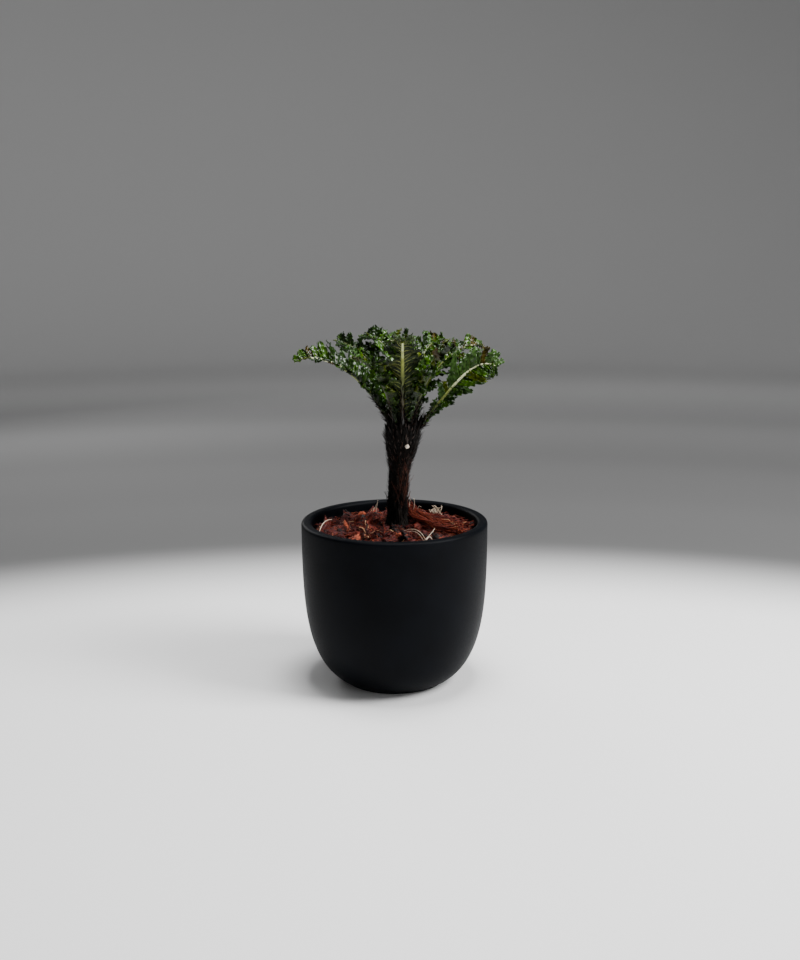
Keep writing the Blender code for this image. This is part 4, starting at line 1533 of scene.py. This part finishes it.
@dataclass(frozen=True)
class SweepFinish:
    """A plain floor, pale under and before the pot and greyer behind it, and a plain wall."""

    name: str = "studio_sweep"
    centre: Place = (0.0, -0.6, 0.0)
    # Distance from the centre and reflectance
    stops: tuple[tuple[float, float], ...] = (
        (0.75, 0.84), (0.95, 0.098), (1.12, 0.110), (1.35, 0.128),
        (1.69, 0.205), (2.24, 0.43), (2.66, 0.48), (3.40, 0.52),
    )

    def material(self) -> bpy.types.Material:
        """Make the finish from the distance to the centre of the pale floor.

        Returns:
            The material, matt all over.
        """
        made = bpy.data.materials.new(self.name)
        made.use_nodes = True
        nodes = made.node_tree.nodes
        link = made.node_tree.links.new
        shader = nodes["Principled BSDF"]
        shader.inputs["Roughness"].default_value = 0.85
        shader.inputs["Specular IOR Level"].default_value = 0.2
        place = nodes.new("ShaderNodeTexCoord")
        distance = nodes.new("ShaderNodeVectorMath")
        distance.operation = "DISTANCE"
        distance.inputs[1].default_value = self.centre
        link(place.outputs["Object"], distance.inputs[0])
        share = nodes.new("ShaderNodeMapRange")
        share.inputs["From Max"].default_value = self.stops[-1][0]
        link(distance.outputs["Value"], share.inputs["Value"])
        colour = nodes.new("ShaderNodeValToRGB")
        colour.color_ramp.interpolation = "EASE"
        steps = colour.color_ramp.elements
        steps.remove(steps[1])
        for index, (reach, level) in enumerate(self.stops):
            step = steps[0] if index == 0 else steps.new(reach / self.stops[-1][0])
            step.position = reach / self.stops[-1][0]
            step.color = (level, level, level, 1.0)
        link(share.outputs["Result"], colour.inputs["Fac"])
        link(colour.outputs["Color"], shader.inputs["Base Color"])
        return made


@dataclass(frozen=True)
class SoftLight:
    """A rectangular light: where it hangs, what it points at, its sides in metres and its watts."""

    name: str
    place: Place
    aim: Place
    sides: tuple[float, float]
    power: float

    def hang(self) -> None:
        """Add the light to the scene and point it."""
        data = bpy.data.lights.new(self.name, "AREA")
        data.shape = "RECTANGLE"
        data.size, data.size_y = self.sides
        data.energy = self.power
        lamp = bpy.data.objects.new(self.name, data)
        lamp.location = self.place
        ahead = Vector(self.aim) - Vector(self.place)
        lamp.rotation_euler = ahead.to_track_quat("-Z", "Y").to_euler()
        bpy.context.scene.collection.objects.link(lamp)


LIGHTS = (
    SoftLight("key", (0.80, -0.25, 0.85), (0.0, 0.0, 0.14), (0.40, 0.60), 22.0),
    SoftLight("top", (0.05, 0.0, 1.15), (0.0, 0.0, 0.10), (0.35, 0.35), 15.0),
    SoftLight("side", (0.95, -0.75, 0.30), (0.0, 0.0, 0.08), (0.70, 0.60), 4.0),
    SoftLight("back", (-0.60, 0.90, 0.60), (0.0, 0.0, 0.14), (0.60, 0.60), 4.0),
)


@dataclass
class Studio:
    """A pale round floor that sweeps up into a wall, soft lights and the camera."""

    floor_radius: float = 1.9
    cove: float = 0.7
    wall_top: float = 2.6
    wall_lights: tuple[tuple[float, float], ...] = ((90.0, 5.4), (210.0, 1.8), (330.0, 1.8))
    surround: Colour = (0.50, 0.52, 0.55)
    surround_strength: float = 0.05
    camera_place: Place = (0.0037, -0.690, 0.2786)
    camera_pitch: float = 12.0
    camera_roll: float = 0.24
    lens: float = 41.25
    sensor: float = 36.0

    def stage(self) -> None:
        """The floor and wall: a disc, a quarter round and an upright, turned about Z."""
        turn = np.linspace(0.0, 0.5 * np.pi, 24)
        radius = np.concatenate([
            np.linspace(0.001, self.floor_radius, 12, endpoint=False),
            self.floor_radius + self.cove * np.sin(turn), [self.floor_radius + self.cove],
        ])
        height = np.concatenate([np.zeros(12), self.cove * (1.0 - np.cos(turn)), [self.wall_top]])
        batch = Batch()
        batch.add(spun(radius, height, 96)[:, ::-1], closed=True)
        backdrop = batch.piece("studio_sweep", [SweepFinish().material()])

    def light_wall(self) -> None:
        """Hang the lights that wash the wall, at headings in degrees round the floor."""
        for degrees, power in self.wall_lights:
            x, y = float(np.cos(np.radians(degrees))), float(np.sin(np.radians(degrees)))
            SoftLight("wall", (0.5 * x, 0.5 * y, 1.9), (x, y, 1.45), (0.8, 0.4), power).hang()

    def world(self) -> None:
        """A dim even surround."""
        world = bpy.data.worlds.new("surround")
        world.use_nodes = True
        background = world.node_tree.nodes["Background"]
        background.inputs["Color"].default_value = (*self.surround, 1.0)
        background.inputs["Strength"].default_value = self.surround_strength
        bpy.context.scene.world = world

    def camera(self) -> None:
        """The camera, a little higher than the crown and looking slightly down."""
        data = bpy.data.cameras.new("camera")
        data.lens = self.lens
        data.sensor_width = self.sensor
        data.clip_start = 0.01
        camera = bpy.data.objects.new("camera", data)
        tilt = Matrix.Rotation(np.radians(90.0 - self.camera_pitch), 4, "X")
        roll = Matrix.Rotation(np.radians(-self.camera_roll), 4, "Z")
        camera.matrix_world = Matrix.Translation(self.camera_place) @ tilt @ roll
        bpy.context.scene.collection.objects.link(camera)
        bpy.context.scene.camera = camera

    def build(self) -> None:
        """Set up the whole studio."""
        self.stage()
        self.world()
        for light in LIGHTS:
            light.hang()
        self.light_wall()
        self.camera()


def main() -> None:
    """Build every sub-assembly in order."""
    logging.basicConfig(level=logging.INFO, format="%(message)s")
    pot = Pot()
    trunk = Trunk()
    pot.build()
    Husk(pot, trunk).build()
    trunk.build()
    Crown(trunk).build()
    Studio().build()


if __name__ == "__main__":
    main()
